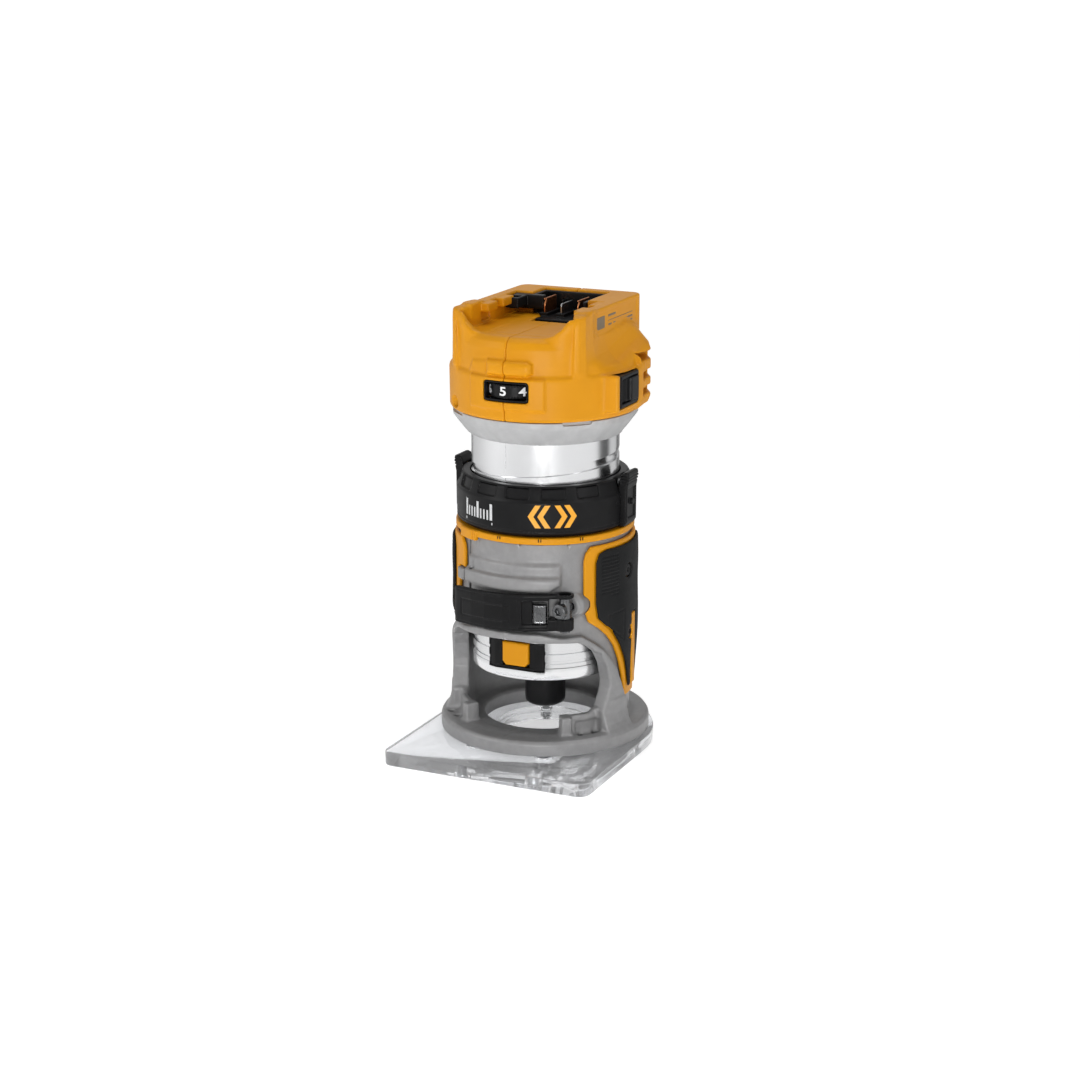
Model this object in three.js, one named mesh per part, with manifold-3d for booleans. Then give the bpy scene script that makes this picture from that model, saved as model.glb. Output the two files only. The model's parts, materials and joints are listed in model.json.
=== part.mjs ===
// Cordless trim router as its separate pieces. Millimetres, +Z up, -Y is the front, +X the right.
// Heights are measured from the underside of the sub-base. A bearing is an angle round the spindle
// in degrees, 0 at the front and positive towards the right.
import * as THREE from "three";
import { mergeVertices } from "three/addons/utils/BufferGeometryUtils.js";
import Module from "manifold-3d";

const wasm = await Module();
wasm.setup();

// ---------------------------------------------------------------- driving dimensions
const GAP = 0.3; // between pieces that touch
const CUT = 1; // how far a cutter runs past the face it opens
const ROUND = 40; // sides of the large turned pieces
const SMALL = 14; // sides of pins, screws and bores

const PLATE = { half: 52, front: -70, thick: 6.3, corner: 6, hole: 20.5 };
const SPINDLE_Y = -(PLATE.front + PLATE.half) / 2; // puts the footprint's centre on the origin

const CAN = { radius: 34.6, inner: 32.4, low: 38.3, high: 157 }; // motor barrel
const SLEEVE = { bore: 35, outer: 40.2, low: 55, high: 105.5 }; // what clamps the barrel
const FOOT = { hole: 28.8, outer: 49.7, low: PLATE.thick + GAP, high: 13.9 };
const LEG = { inner: 36.8, outer: 44.3, flare: 49 };
const SLIT = { from: -36.8, to: -34.2 }; // the clamp slit through the sleeve

const THREAD = { lead: 15, width: 4, depth: 1, through: 136.3, bearing: -12 }; // helical groove
const RING = { bore: 35.1, outer: 41.4, low: 109.2, shoulder: 126, high: 134 };
const TAB = { half: 6.2, pivotX: 38.8, pivotZ: 120.7, noseZ: 110.55, springZ: 129 };

const LEVER = { low: 65, high: 82.5, pinRadius: 45, pinBearing: 36.2 };
const BELT = { low: 162.7, radius: 44.3, high: 182.3 }; // widest band of the motor housing
const BAY = { floor: 200.4, half: 25.2, back: 10, top: 210.5 }; // battery bay
const TUB = { half: 16.6, back: 35.4 }; // hole for the terminal block
const DIAL = { x: 0.6, y: -33.2, radius: 12, low: 173.4, high: 179.8 };
const DIAL_WINDOW = { left: -9.7, right: 10.9, low: 171.9, high: 181.1 };
const SWITCH = { front: -19, back: 2, low: 167.5, high: 182.4, pivotX: 43, pivotY: -8.5 };
const NUT = { radius: 10, low: 16.6, high: 36 };

// ---------------------------------------------------------------- materials
const paint = (color, roughness, metalness = 0) =>
  new THREE.MeshStandardMaterial({ color, roughness, metalness });
const YELLOW = paint(0xf3a81c, 0.45);
const BLACK = paint(0x1b1b1c, 0.5);
const RUBBER = paint(0x202122, 0.75);
const CAST = paint(0x9b9a99, 0.55, 0.4);
const MACHINED = paint(0xd9dbdd, 0.25, 1);
const SKIRT_GREY = paint(0xa0a1a2, 0.5, 0.2);
const STEEL = paint(0x8f9296, 0.35, 1);
const COPPER = paint(0xb87333, 0.4, 0.8);
const BOARD = paint(0x1f5f3a, 0.6);
const LENS = paint(0xeef2f5, 0.15);
const CLEAR = new THREE.MeshStandardMaterial({
  color: 0xe8edf0,
  roughness: 0.1,
  transparent: true,
  opacity: 0.4,
});

// ---------------------------------------------------------------- solids
const RAD = Math.PI / 180;
const MERGE = 1e-4;

/** A point at a radius and bearing round the spindle. */
const polar = (radius, bearing, z) =>
  new THREE.Vector3(radius * Math.sin(bearing * RAD), -radius * Math.cos(bearing * RAD), z);

/** A closed three.js geometry as a solid whose faces point out. */
function solidOf(geometry) {
  const bare = geometry.index ? geometry.toNonIndexed() : geometry.clone();
  bare.deleteAttribute("normal");
  bare.deleteAttribute("uv");
  const merged = mergeVertices(bare, MERGE);
  const vertProperties = merged.attributes.position.array;
  const triVerts = new Uint32Array(merged.index.array);
  const made = new wasm.Manifold(new wasm.Mesh({ numProp: 3, vertProperties, triVerts }));
  if (made.volume() > 0) return made;
  triVerts.reverse();
  return new wasm.Manifold(new wasm.Mesh({ numProp: 3, vertProperties, triVerts }));
}

/** A profile of [radius, z] turned about the Z axis. */
function turned(profile, sides = ROUND) {
  const points = profile.map(([radius, z]) => new THREE.Vector2(radius, z));
  const onAxis = profile[0][0] === 0 && profile.at(-1)[0] === 0;
  if (!onAxis) points.push(points[0].clone());
  return solidOf(new THREE.LatheGeometry(points, sides).rotateX(Math.PI / 2));
}

/** A plain ring, or a disc where inner is 0, standing on the Z axis moved to x, y. */
function ring(inner, outer, low, high, sides = ROUND, x = 0, y = 0) {
  const profile = [[inner, low], [outer, low], [outer, high], [inner, high]];
  const points = profile.map(([radius, z]) => new THREE.Vector2(radius, z));
  if (inner > 0) points.push(points[0].clone());
  const lathe = new THREE.LatheGeometry(points, sides).rotateX(Math.PI / 2);
  return solidOf(lathe.translate(x, y, 0));
}

const block = (x0, x1, y0, y1, z0, z1) =>
  solidOf(
    new THREE.BoxGeometry(x1 - x0, y1 - y0, z1 - z0).translate(
      (x0 + x1) / 2,
      (y0 + y1) / 2,
      (z0 + z1) / 2,
    ),
  );

const outline = (points) => new THREE.Shape(points.map(([u, v]) => new THREE.Vector2(u, v)));

/** Points of an arc, in degrees from +X, as [x, y]. */
const arcPoints = (x, y, radius, from, to, steps) =>
  Array.from({ length: steps + 1 }, (_, i) => {
    const way = (from + ((to - from) * i) / steps) * RAD;
    return [x + radius * Math.cos(way), y + radius * Math.sin(way)];
  });

/** An outline of [x, y], or a THREE.Shape, standing between two heights. */
function upright(shape, low, high, curveSegments = 10) {
  const drawn = Array.isArray(shape) ? outline(shape) : shape;
  const options = { depth: high - low, bevelEnabled: false, curveSegments };
  return solidOf(new THREE.ExtrudeGeometry(drawn, options).translate(0, 0, low));
}

/** An outline of [y, z] run along X. */
function alongX(shape, from, to, curveSegments = 6) {
  const drawn = Array.isArray(shape) ? outline(shape) : shape;
  const options = { depth: to - from, bevelEnabled: false, curveSegments };
  const turn = new THREE.Matrix4().makeBasis(
    new THREE.Vector3(0, 1, 0),
    new THREE.Vector3(0, 0, 1),
    new THREE.Vector3(1, 0, 0),
  );
  const geometry = new THREE.ExtrudeGeometry(drawn, options).applyMatrix4(turn);
  return solidOf(geometry.translate(from, 0, 0));
}

/** An outline of [x, z] run along Y. */
function alongY(points, from, to) {
  const swapped = points.map(([x, z]) => [z, x]);
  const options = { depth: to - from, bevelEnabled: false };
  const turn = new THREE.Matrix4().makeBasis(
    new THREE.Vector3(0, 0, 1),
    new THREE.Vector3(1, 0, 0),
    new THREE.Vector3(0, 1, 0),
  );
  const geometry = new THREE.ExtrudeGeometry(outline(swapped), options).applyMatrix4(turn);
  return solidOf(geometry.translate(0, from, 0));
}

/** A round bar between two points. */
function bar(radius, from, to, sides = SMALL) {
  const reach = new THREE.Vector3().subVectors(to, from);
  const geometry = new THREE.CylinderGeometry(radius, radius, reach.length(), sides);
  const up = new THREE.Vector3(0, 1, 0);
  const middle = from.clone().add(to).multiplyScalar(0.5);
  geometry.applyQuaternion(
    new THREE.Quaternion().setFromUnitVectors(up, reach.clone().normalize()),
  );
  return solidOf(geometry.translate(middle.x, middle.y, middle.z));
}

/** A closed body through a row of matching convex outlines. */
function lofted(sections) {
  const count = sections[0].length;
  const last = (sections.length - 1) * count;
  const index = [];
  for (let row = 0; row < last; row += count) {
    for (let i = 0; i < count; i++) {
      const next = (i + 1) % count;
      index.push(row + i, row + next, row + count + next);
      index.push(row + i, row + count + next, row + count + i);
    }
  }
  for (let i = 1; i < count - 1; i++) {
    index.push(0, i + 1, i);
    index.push(last, last + i, last + i + 1);
  }
  const corners = sections.flat().flatMap((point) => point.toArray());
  const geometry = new THREE.BufferGeometry();
  geometry.setAttribute("position", new THREE.Float32BufferAttribute(corners, 3));
  return solidOf(geometry.setIndex(index));
}

/** Height of a line of [bearing, z] points at a bearing. */
function heightAt(line, bearing) {
  const after = line.findIndex(([stop]) => stop >= bearing);
  if (after <= 0) return line[after === 0 ? 0 : line.length - 1][1];
  const [b0, z0] = line[after - 1];
  const [b1, z1] = line[after];
  return z0 + ((z1 - z0) * (bearing - b0)) / (b1 - b0);
}

/** A shell between two radii and two lines of [bearing, z]; side -1 mirrors it to the left. */
function wrapped(low, high, inner, outer, side = 1) {
  const widest = 6;
  const stops = [...low, ...high].map(([bearing]) => bearing).sort((a, b) => a - b);
  const bearings = stops.slice(0, 1);
  for (const stop of stops.slice(1)) {
    const from = bearings.at(-1);
    const steps = Math.ceil((stop - from) / widest - 1e-6);
    for (let i = 1; i <= steps; i++) bearings.push(from + ((stop - from) * i) / steps);
  }
  return lofted(
    bearings.map((bearing) => {
      const z0 = heightAt(low, bearing);
      const z1 = heightAt(high, bearing);
      return [[inner, z0], [outer, z0], [outer, z1], [inner, z1]].map(([radius, z]) =>
        polar(radius, side * bearing, z),
      );
    }),
  );
}

/** A wrapped shell with level edges. */
const band = (from, to, inner, outer, low, high) =>
  wrapped([[from, low], [to, low]], [[from, high], [to, high]], inner, outer);

const joined = (first, ...rest) => rest.reduce((sum, solid) => sum.add(solid), first);
const cutBy = (first, ...rest) => rest.reduce((left, solid) => left.subtract(solid), first);

const router = new THREE.Group();
router.position.set(0, SPINDLE_Y, 0);

/** Adds a solid to the object as one named piece. */
function piece(name, solid, material) {
  const { vertProperties, triVerts } = solid.getMesh();
  const geometry = new THREE.BufferGeometry();
  geometry.setAttribute("position", new THREE.Float32BufferAttribute(vertProperties, 3));
  geometry.setIndex(new THREE.Uint32BufferAttribute(triVerts, 1));
  geometry.computeVertexNormals();
  const mesh = new THREE.Mesh(geometry, material);
  mesh.name = name;
  router.add(mesh);
}

const SIDES = { left: -1, right: 1 };

// ---------------------------------------------------------------- base
const SCREW_RADIUS = 43.5;
const SUB_BASE_SCREWS = [24, 156, 204, 336].map((bearing) => polar(SCREW_RADIUS, bearing, 0));

/** Clear D-shaped sub-base with its bit hole, guide-bush step and countersunk screw holes. */
function subBase() {
  const { half, front, thick, corner, hole } = PLATE;
  const edge = [
    ...arcPoints(corner - half, front + corner, corner, -180, -90, 4),
    ...arcPoints(half - corner, front + corner, corner, -90, 0, 4),
    ...arcPoints(0, 0, half, 0, 180, 24),
  ];
  const step = ring(0, hole + 2, thick - 2.4, thick + CUT);
  const through = ring(0, hole, -CUT, thick + CUT);
  const sinks = SUB_BASE_SCREWS.map(({ x, y }) =>
    joined(ring(0, 4.2, -CUT, 3.1, SMALL, x, y), ring(0, 2.2, 0, thick + CUT, SMALL, x, y)),
  );
  return cutBy(upright(edge, 0, thick), step, through, ...sinks);
}

function subBaseScrew({ x, y }) {
  const head = ring(0, 3.8, 0.6, 2.8, SMALL, x, y);
  const shank = ring(0, 1.8, 2.6, 12, SMALL, x, y);
  return cutBy(joined(head, shank), ring(0, 1.5, -CUT, 1.8, 6, x, y));
}

// Front window of the base: its top edge and its sill, mirrored about the front.
const WINDOW_TOP = [[0, 60.2], [44.7, 59], [52, 56.4], [59.9, 52.1], [65.1, 46], [67.9, 38]];
const WINDOW_SILL = [[0, 13.9], [34, 13.9], [34.6, 22.7], [56, 22.7], [62.7, 25], [67.9, 34]];
// Top edge of the raised arch that frames the window and runs down the legs.
const ARCH_TOP = [
  [0, 64], [21, 64], [34, 62], [47.6, 62], [54.9, 58.3], [62.9, 53.9],
  [74.1, 43.8], [82.4, 29.9], [84.1, 17.1], [84.6, 13.5],
];
const ARCH_FOOT = [[0, 52], [61, 52], [62, 13.5], [84.6, 13]];

/** One leg's raised arch with the foot that flares out to the flange. */
function arch(side) {
  const raised = wrapped(ARCH_FOOT, ARCH_TOP, LEG.inner + GAP, LEG.outer, side);
  const flare = lofted(
    [64, 70, 77, 84].map((bearing) => [
      polar(LEG.outer - 2, side * bearing, FOOT.high - CUT),
      polar(LEG.flare, side * bearing, FOOT.high - CUT),
      polar(LEG.outer + 1.2, side * bearing, 18),
      polar(LEG.outer - 2, side * bearing, 26),
    ]),
  );
  return joined(raised, flare);
}

/** Stop block beside the window sill. */
const sillBlock = (side) =>
  wrapped([[34.6, 13], [41.8, 13]], [[34.6, 23.2], [41.8, 23.6]], 36.2, 42.8, side);

const PIN_CENTRE = polar(LEVER.pinRadius, LEVER.pinBearing, 76.4);
const SCREW_WAY = new THREE.Vector3(0.1, 0.995, 0).normalize();
const alongScrew = (distance) => PIN_CENTRE.clone().addScaledVector(SCREW_WAY, distance);

/** Cast base: flange, legs, window arch, clamp sleeve with its slit, ledges and bosses. */
function baseCasting() {
  const foot = turned([
    [FOOT.hole, FOOT.low], [FOOT.outer, FOOT.low], [FOOT.outer, 12.2],
    [48.4, FOOT.high], [FOOT.hole + 1.2, FOOT.high], [FOOT.hole, 12.9],
  ]);
  const wall = turned([
    [LEG.inner, FOOT.high - 0.8], [SLEEVE.outer, FOOT.high - 0.8], [SLEEVE.outer, SLEEVE.high],
    [37.3, SLEEVE.high], [37.3, 103.2], [SLEEVE.bore, 103.2], [SLEEVE.bore, 57],
    [LEG.inner, SLEEVE.low],
  ]);
  const upperLedge = band(-34, 37, SLEEVE.outer - CUT, 43.6, 83.5, 90.8);
  const lug = band(-46, -37.5, SLEEVE.outer - CUT, 43.4, 83, 88.5);
  const boss = bar(4.4, alongScrew(5), alongScrew(10.5));
  const solid = joined(
    foot, wall, arch(1), arch(-1), sillBlock(1), sillBlock(-1), upperLedge, lug, boss,
  );
  const window = [1, -1].map((side) => wrapped(WINDOW_SILL, WINDOW_TOP, 30, 50, side));
  const bore = ring(0, SLEEVE.bore, SLEEVE.low, SLEEVE.high + CUT);
  const slit = band(SLIT.from, SLIT.to, 30, 50, 64.6, SLEEVE.high + CUT);
  const holes = [[41, 48], [41, 58.5], [43.4, -49], [45, -58.5]].map(([radius, bearing]) =>
    bar(1.3, polar(radius, bearing, 8), polar(radius, bearing, 20), 10),
  );
  const screws = SUB_BASE_SCREWS.map(({ x, y }) => ring(0, 2.1, 5, 12.4, SMALL, x, y));
  const threaded = bar(2, alongScrew(3), alongScrew(9.5));
  const pinHole = bar(2.4, polar(30, 180, 98), polar(44, 180, 98));
  return cutBy(solid, ...window, bore, slit, ...holes, ...screws, threaded, pinHole);
}

// Grip outlines as lines of [bearing, z]. The right side's front edge lies further back than the
// left side's, which starts beside the clamp slit.
const GRIP = { frameInner: 40.5, frameOuter: 41.9, padInner: 42.2, padOuter: 43.4 };
const FRAME_FRONT = { right: 49.6, left: 37.4 };
const PAD_FRONT = { right: 57.4, left: 55.4 };

function frameLines(side) {
  const start = FRAME_FRONT[side];
  const front = {
    left: [[start, 89.2], [46.6, 89.2], [47.4, 79]],
    right: [[start, 74], [start + 1.4, 71.5]],
  };
  const low = [
    ...front[side], [53, 67.7], [61.1, 63.7], [67.8, 59.4], [74.4, 53.4], [80, 45.4], [83.8, 37.3],
    [86, 28.2], [103, 28.2], [108, 42], [118, 60], [128, 68],
  ];
  const high = [[start, 97], [start + 1.4, 100.6], [start + 5, 103.6], [124, 103.6], [128, 100]];
  return [low, high];
}

function padLines(side) {
  const start = PAD_FRONT[side];
  const low = [
    [start, 76], [59.1, 69], [64.6, 65.3], [70.7, 61.4], [78.8, 53.1], [85, 44.5],
    [88.1, 36.4], [89.6, 30.6], [100, 30.6], [105, 43], [115, 61], [124, 70],
  ];
  const high = [[start, 96], [start + 2.4, 100], [start + 8, 101.4], [120, 101.2], [124, 98]];
  return [low, high];
}

const GRIP_SCREWS = { upper: [87.5, 88.1], lower: [91, 57.4] };

/** A radial bar through a grip. */
const gripBar = (radius, side, [bearing, z], from, to) =>
  bar(radius, polar(from, SIDES[side] * bearing, z), polar(to, SIDES[side] * bearing, z));

/** Rib of the grip frame that shows through the slot in the pad. */
const accent = (side, inner, outer, grow) =>
  wrapped(
    [[94.4 - grow, 31.5 - grow * 2], [98.6 + grow, 31.5 - grow * 2]],
    [[94.4 - grow, 52 + grow * 2], [98.6 + grow, 52 + grow * 2]],
    inner, outer, SIDES[side],
  );

function gripFrame(side) {
  const shell = wrapped(...frameLines(side), GRIP.frameInner, GRIP.frameOuter, SIDES[side]);
  const holes = Object.values(GRIP_SCREWS).map((spot) => gripBar(1.9, side, spot, 38, 46));
  const besideBoss = bar(4.9, alongScrew(4), alongScrew(12));
  return cutBy(joined(shell, accent(side, 41, 43.2, 0)), ...holes, besideBoss);
}

function gripPad(side) {
  const shell = wrapped(...padLines(side), GRIP.padInner, GRIP.padOuter, SIDES[side]);
  const holes = Object.values(GRIP_SCREWS).map((spot) => gripBar(3.4, side, spot, 38, 46));
  return cutBy(shell, accent(side, 41, 45, 0.4), ...holes);
}

function gripScrew(side, spot) {
  const head = gripBar(3, side, spot, 42.2, 43.2);
  return joined(head, gripBar(1.5, side, spot, 40.6, 42.4));
}

/** Coloured ring on top of the sleeve, with its index block at the front left. */
function trimRing() {
  const hoop = ring(37.3, 41.9, SLEEVE.high + GAP, 108.8);
  return joined(hoop, band(-42, -24.5, 40.6, 42.8, 103.9, 108.8));
}

// ---------------------------------------------------------------- clamp lever
const CLAMP_BARREL = { radius: 3, centre: polar(43.6, 20, 0), low: 69, high: 78.5 };

/** A stretch of the lever through rows of [bearing, inner radius, outer radius]. */
const leverSpan = (rows) =>
  lofted(
    rows.map(([bearing, inner, outer]) => [
      polar(inner, bearing, LEVER.low), polar(outer, bearing, LEVER.low),
      polar(outer, bearing, LEVER.high), polar(inner, bearing, LEVER.high),
    ]),
  );

/** Over-centre lever: a curved bar with a finger end, a window for the barrel and a forked end. */
function lockLever() {
  const rows = [
    [-35.5, 45.9, 48.4], [-30, 45.2, 47.9], [-22, 44.6, 47.3], [-12, 44.2, 47], [0, 44, 46.9],
    [12, 43.9, 46.8], [24, 43.6, 46.6], [29.4, 43.2, 46.6],
  ];
  const strap = leverSpan(rows);
  const link = leverSpan([[28, 43, 46.6], [LEVER.pinBearing, 42.2, 47.6]]);
  const { x, y } = PIN_CENTRE;
  const knuckle = ring(0, 4.1, LEVER.low, LEVER.high, SMALL, x, y);
  const barrelWindow = band(15, 25, 40, 50, 68.4, 79.1);
  const fork = band(26.8, 44, 38, 52, 70.6, 80.3);
  const pinHole = ring(0, 2.9, 60, 90, SMALL, x, y);
  return cutBy(joined(strap, link, knuckle), barrelWindow, fork, pinHole);
}

function leverPin() {
  const { x, y } = PIN_CENTRE;
  return cutBy(ring(0, 2.6, 65.4, 82.1, SMALL, x, y), bar(2, alongScrew(-6), alongScrew(6)));
}

function tensionScrew() {
  const head = bar(3.4, alongScrew(-6.2), alongScrew(-3));
  const socket = bar(1.7, alongScrew(-8), alongScrew(-4.2), 6);
  return cutBy(joined(head, bar(1.7, alongScrew(-3.4), alongScrew(9))), socket);
}

function clampBarrel() {
  const { radius, centre, low, high } = CLAMP_BARREL;
  return ring(0, radius, low, high, SMALL, centre.x, centre.y);
}

/** Pin of the base that runs in the barrel's straight rear groove. */
function guidePin() {
  const [tip, seat, top] = [33.8, 40.4, 41.8].map((radius) => polar(radius, 180, 98));
  return joined(bar(2.1, tip, seat), bar(3.4, seat, top));
}

// ---------------------------------------------------------------- depth ring
/** Depth ring with gripping facets, a collar in the sleeve and a pocket for each release tab. */
function depthRing() {
  const body = turned([
    [RING.bore, 104.2], [36.7, 104.2], [36.7, RING.low], [39.8, RING.low], [RING.outer, 110.8],
    [RING.outer, RING.shoulder], [40.5, 127.2], [38.7, RING.high], [RING.bore, RING.high],
  ]);
  const cuts = Object.values(SIDES).flatMap((side) => {
    const near = side * 36.9;
    const far = side * 48;
    const [x0, x1] = [Math.min(near, far), Math.max(near, far)];
    const pocket = block(x0, x1, -TAB.half - 0.4, TAB.half + 0.4, 107, 137);
    const pivot = new THREE.Vector3(side * TAB.pivotX, 0, TAB.pivotZ);
    const reach = new THREE.Vector3(0, 9.4, 0);
    return [pocket, bar(1.3, pivot.clone().sub(reach), pivot.clone().add(reach), 12)];
  });
  const noseWay = block(32, 48, -3.9, 3.9, 107.6, 112.6);
  const facets = [];
  for (let bearing = 12; bearing < 360; bearing += 24) {
    if (Math.abs((bearing % 180) - 90) < 15) continue;
    facets.push(band(bearing - 8.5, bearing + 8.5, 40, 42, 127.6, 132.6));
  }
  return cutBy(body, ...cuts, noseWay, ...facets);
}

/** A point on the line of a tab's spring. */
const abeam = (x) => new THREE.Vector3(x, 0, TAB.springZ);

/** Release tab on its pin: finger pad above, and on the right one a nose in the helical groove. */
function releaseTab(side) {
  const profile = [
    [37.3, 109.5], [42.2, 109.5], [43.2, 111.5], [43.2, 131], [43.8, 137], [42.6, 138.4],
    [40.6, 137.4], [39.7, 134.4], [38.9, 127], [37.3, 122], [37.3, 114],
  ];
  const body = alongY(profile.map(([x, z]) => [side * x, z]), -TAB.half, TAB.half);
  const nose = block(33.9, 40, -3.2, 3.2, TAB.noseZ - 1.2, TAB.noseZ + 1.2);
  const pivot = new THREE.Vector3(side * TAB.pivotX, 0, TAB.pivotZ);
  const reach = new THREE.Vector3(0, 12, 0);
  const hole = bar(1.3, pivot.clone().sub(reach), pivot.clone().add(reach), 12);
  const springWay = bar(2.4, abeam(side * 35), abeam(side * 42.2));
  return cutBy(side > 0 ? joined(body, nose) : body, hole, springWay);
}

function tabPin(side) {
  const pivot = new THREE.Vector3(side * TAB.pivotX, 0, TAB.pivotZ);
  const reach = new THREE.Vector3(0, 8.8, 0);
  return bar(1, pivot.clone().sub(reach), pivot.clone().add(reach), 12);
}

function tabSpring(side) {
  const coil = bar(1.9, abeam(side * 37.2), abeam(side * 40.6));
  return cutBy(coil, bar(1.3, abeam(side * 37.2), abeam(side * 39.8)));
}

// ---------------------------------------------------------------- motor
/** Cutter of the helical groove between two heights; its steps meet the barrel's edges. */
function helicalGroove(low, high) {
  const step = 2.5 * (360 / ROUND);
  const base = THREAD.through;
  const bearingAt = (z) => THREAD.bearing + ((z - base) / THREAD.lead) * 360;
  const first = Math.ceil(bearingAt(low) / step) * step;
  const half = THREAD.width / 2;
  const sections = [];
  for (let bearing = first; bearing <= bearingAt(high); bearing += step) {
    const z = base + ((bearing - THREAD.bearing) / 360) * THREAD.lead;
    const inner = CAN.radius - THREAD.depth;
    const corners = [[inner, z - half], [36, z - half], [36, z + half], [inner, z + half]];
    sections.push(corners.map(([radius, height]) => polar(radius, bearing, height)));
  }
  return lofted(sections);
}

const LOCK = { half: 14.3, low: 42.8, high: 58, face: -33, button: 6.6, pinZ: 50.4 };

/** Machined barrel: nose plate, lower bearing seat, thread, guide groove and lock opening. */
function motorCan() {
  const { radius, inner, low, high } = CAN;
  const tube = turned([
    [10.8, low + 0.6], [radius - 1.4, low], [radius, low + 1.4], [radius, high], [inner, high],
    [inner, 70], [14.3, 70], [14.3, 61.4], [8.2, 61.4], [8.2, 59], [inner, 59], [inner, 42.4],
    [10.8, 42.4],
  ]);
  const bands = [[46.5, 47.6], [51.3, 52.6]].map(([z0, z1]) => ring(34.1, 36, z0, z1));
  const front = block(-15, 15, -40, LOCK.face - 0.1, 36, LOCK.high);
  const opening = block(-LOCK.half, LOCK.half, -40, -27.4, LOCK.low - GAP, LOCK.high - 1.4);
  const guide = block(-2.6, 2.6, 33.3, 40, 30, 120);
  const lamps = Object.values(LAMPS).map(({ x, y }) => ring(0, 3.3, 36, 44, SMALL, x, y));
  return cutBy(tube, ...bands, front, opening, guide, ...lamps, helicalGroove(84.5, 143));
}

const LAMPS = { left: polar(23, -62, 0), right: polar(23, 62, 0) };
const lampLens = ({ x, y }) => ring(0, 3, 38.4, 43.6, SMALL, x, y);

/** A point on the line along which the lock button moves. */
const behindButton = (y) => new THREE.Vector3(0, y, LOCK.pinZ);

/** Black panel in the barrel's flat front, with the guide for the lock button. */
function lockPanel() {
  const { half, low, high, face, button } = LOCK;
  const front = block(-half + GAP, half - GAP, face, -30.6, low, high - 1.7);
  const arms = [-1, 1].map((side) => {
    const edges = [side * 8.2, side * 9.8].sort((a, b) => a - b);
    return block(...edges, -31, -16, low + 3, high - 4);
  });
  const bridge = block(-9.8, 9.8, -17.5, -16, low + 3, high - 4);
  const buttonWay = block(-button - GAP, button + GAP, -40, -30, 44.1, 56.2);
  const pinWay = bar(3, behindButton(-20), behindButton(-10));
  const insideBarrel = ring(0, CAN.radius - 0.4, low - CUT, high);
  return cutBy(joined(front, ...arms, bridge), buttonWay, pinWay).intersect(insideBarrel);
}

/** Push button of the spindle lock, with a pocket for its spring and a pin towards the spindle. */
function lockButton() {
  const { face, button } = LOCK;
  const inset = button - 1.6;
  const outlineOfCap = [
    [-button, 46.2], [-inset, 44.5], [inset, 44.5], [button, 46.2], [button, 55.8], [-button, 55.8],
  ];
  const cap = alongY(outlineOfCap, face - 0.7, -24.5);
  const pocket = bar(5, behindButton(-31), behindButton(-20));
  const pin = bar(2.4, behindButton(-32), behindButton(-11.4));
  return joined(cutBy(cap, pocket), pin);
}

function lockSpring() {
  const coil = bar(4.2, behindButton(-27.6), behindButton(-17.8));
  return cutBy(coil, bar(3.2, behindButton(-30), behindButton(-10)));
}

/** Stator stack with six teeth. */
function stator() {
  const teeth = 6;
  const tooth = [[16.2, -24], [16.2, 24], [27, 11.5], [27, 48.5]]; // [radius, bearing from its middle]
  const bore = Array.from({ length: teeth }, (_, i) =>
    tooth.map(([radius, bearing]) => {
      const { x, y } = polar(radius, (i * 360) / teeth + bearing, 0);
      return new THREE.Vector2(x, y);
    }),
  );
  const shape = new THREE.Shape().absarc(0, 0, 31.9, 0, 2 * Math.PI);
  shape.holes.push(new THREE.Path(bore.flat()));
  return upright(shape, 80, 112, 20);
}

const statorWindings = () =>
  turned([[17, 112.3], [29, 112.3], [29, 116.5], [27, 119], [19, 119], [17, 116.5]], 24);

/** Plate that holds the upper bearing, in the top of the barrel. */
function motorEndPlate() {
  const hub = [[4.6, 126], [15, 126], [15, 132]];
  return turned([...hub, [32.1, 132], [32.1, 136], [11.3, 136], [11.3, 128.4], [4.6, 128.4]], 28);
}

/** Spindle and rotor shaft in one, hollow at the bottom for the collet. */
function motorShaft() {
  const socket = [[0, 56], [4.3, 54], [4.3, 39.4], [5.5, 38.4], [5.95, 24.2]];
  const outside = [[6.6, 24.2], [7, 25], [7, 71], [4, 71], [4, 134], [0, 134]];
  return turned([...socket, ...outside], 20);
}

const rotorCore = () => ring(4.3, 14.4, 81, 111, 24);

/** Outline of a straight strip between two points, half wide on each side. */
function strip(from, to, half) {
  const across = new THREE.Vector3(to.y - from.y, from.x - to.x, 0).setLength(half);
  const [left, right] = [across, across.clone().negate()];
  return [[from, left], [to, left], [to, right], [from, right]].map(([end, side]) => [
    end.x + side.x,
    end.y + side.y,
  ]);
}

/** Fan: hub, back disc and blades. */
function coolingFan() {
  const hub = turned([[4.3, 72.2], [8.5, 72.2], [8.5, 76.6], [28, 76.6], [28, 78.2], [4.3, 78.2]], 24);
  const blades = Array.from({ length: 11 }, (_, i) => {
    const bearing = (i * 360) / 11;
    return upright(strip(polar(9, bearing, 0), polar(27.6, bearing - 24, 0), 0.6), 71, 77);
  });
  return joined(hub, ...blades);
}

const lowerBearing = () => ring(7.3, 14, 61.7, 69.8, 24);
const upperBearing = () => ring(4.3, 11, 128.7, 135.6, 24);

/** Collet with three slits, seated in the spindle's taper. */
function collet() {
  const body = turned([
    [4, 18.9], [5.6, 18.9], [6.7, 20], [6.7, 23], [5.5, 23.6], [5, 37.4], [4, 37.4],
  ], 20);
  const slits = [0, 120, 240].map((bearing) =>
    upright(strip(polar(2, bearing, 0), polar(9, bearing, 0), 0.35), 10, 33),
  );
  return cutBy(body, ...slits);
}

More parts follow.
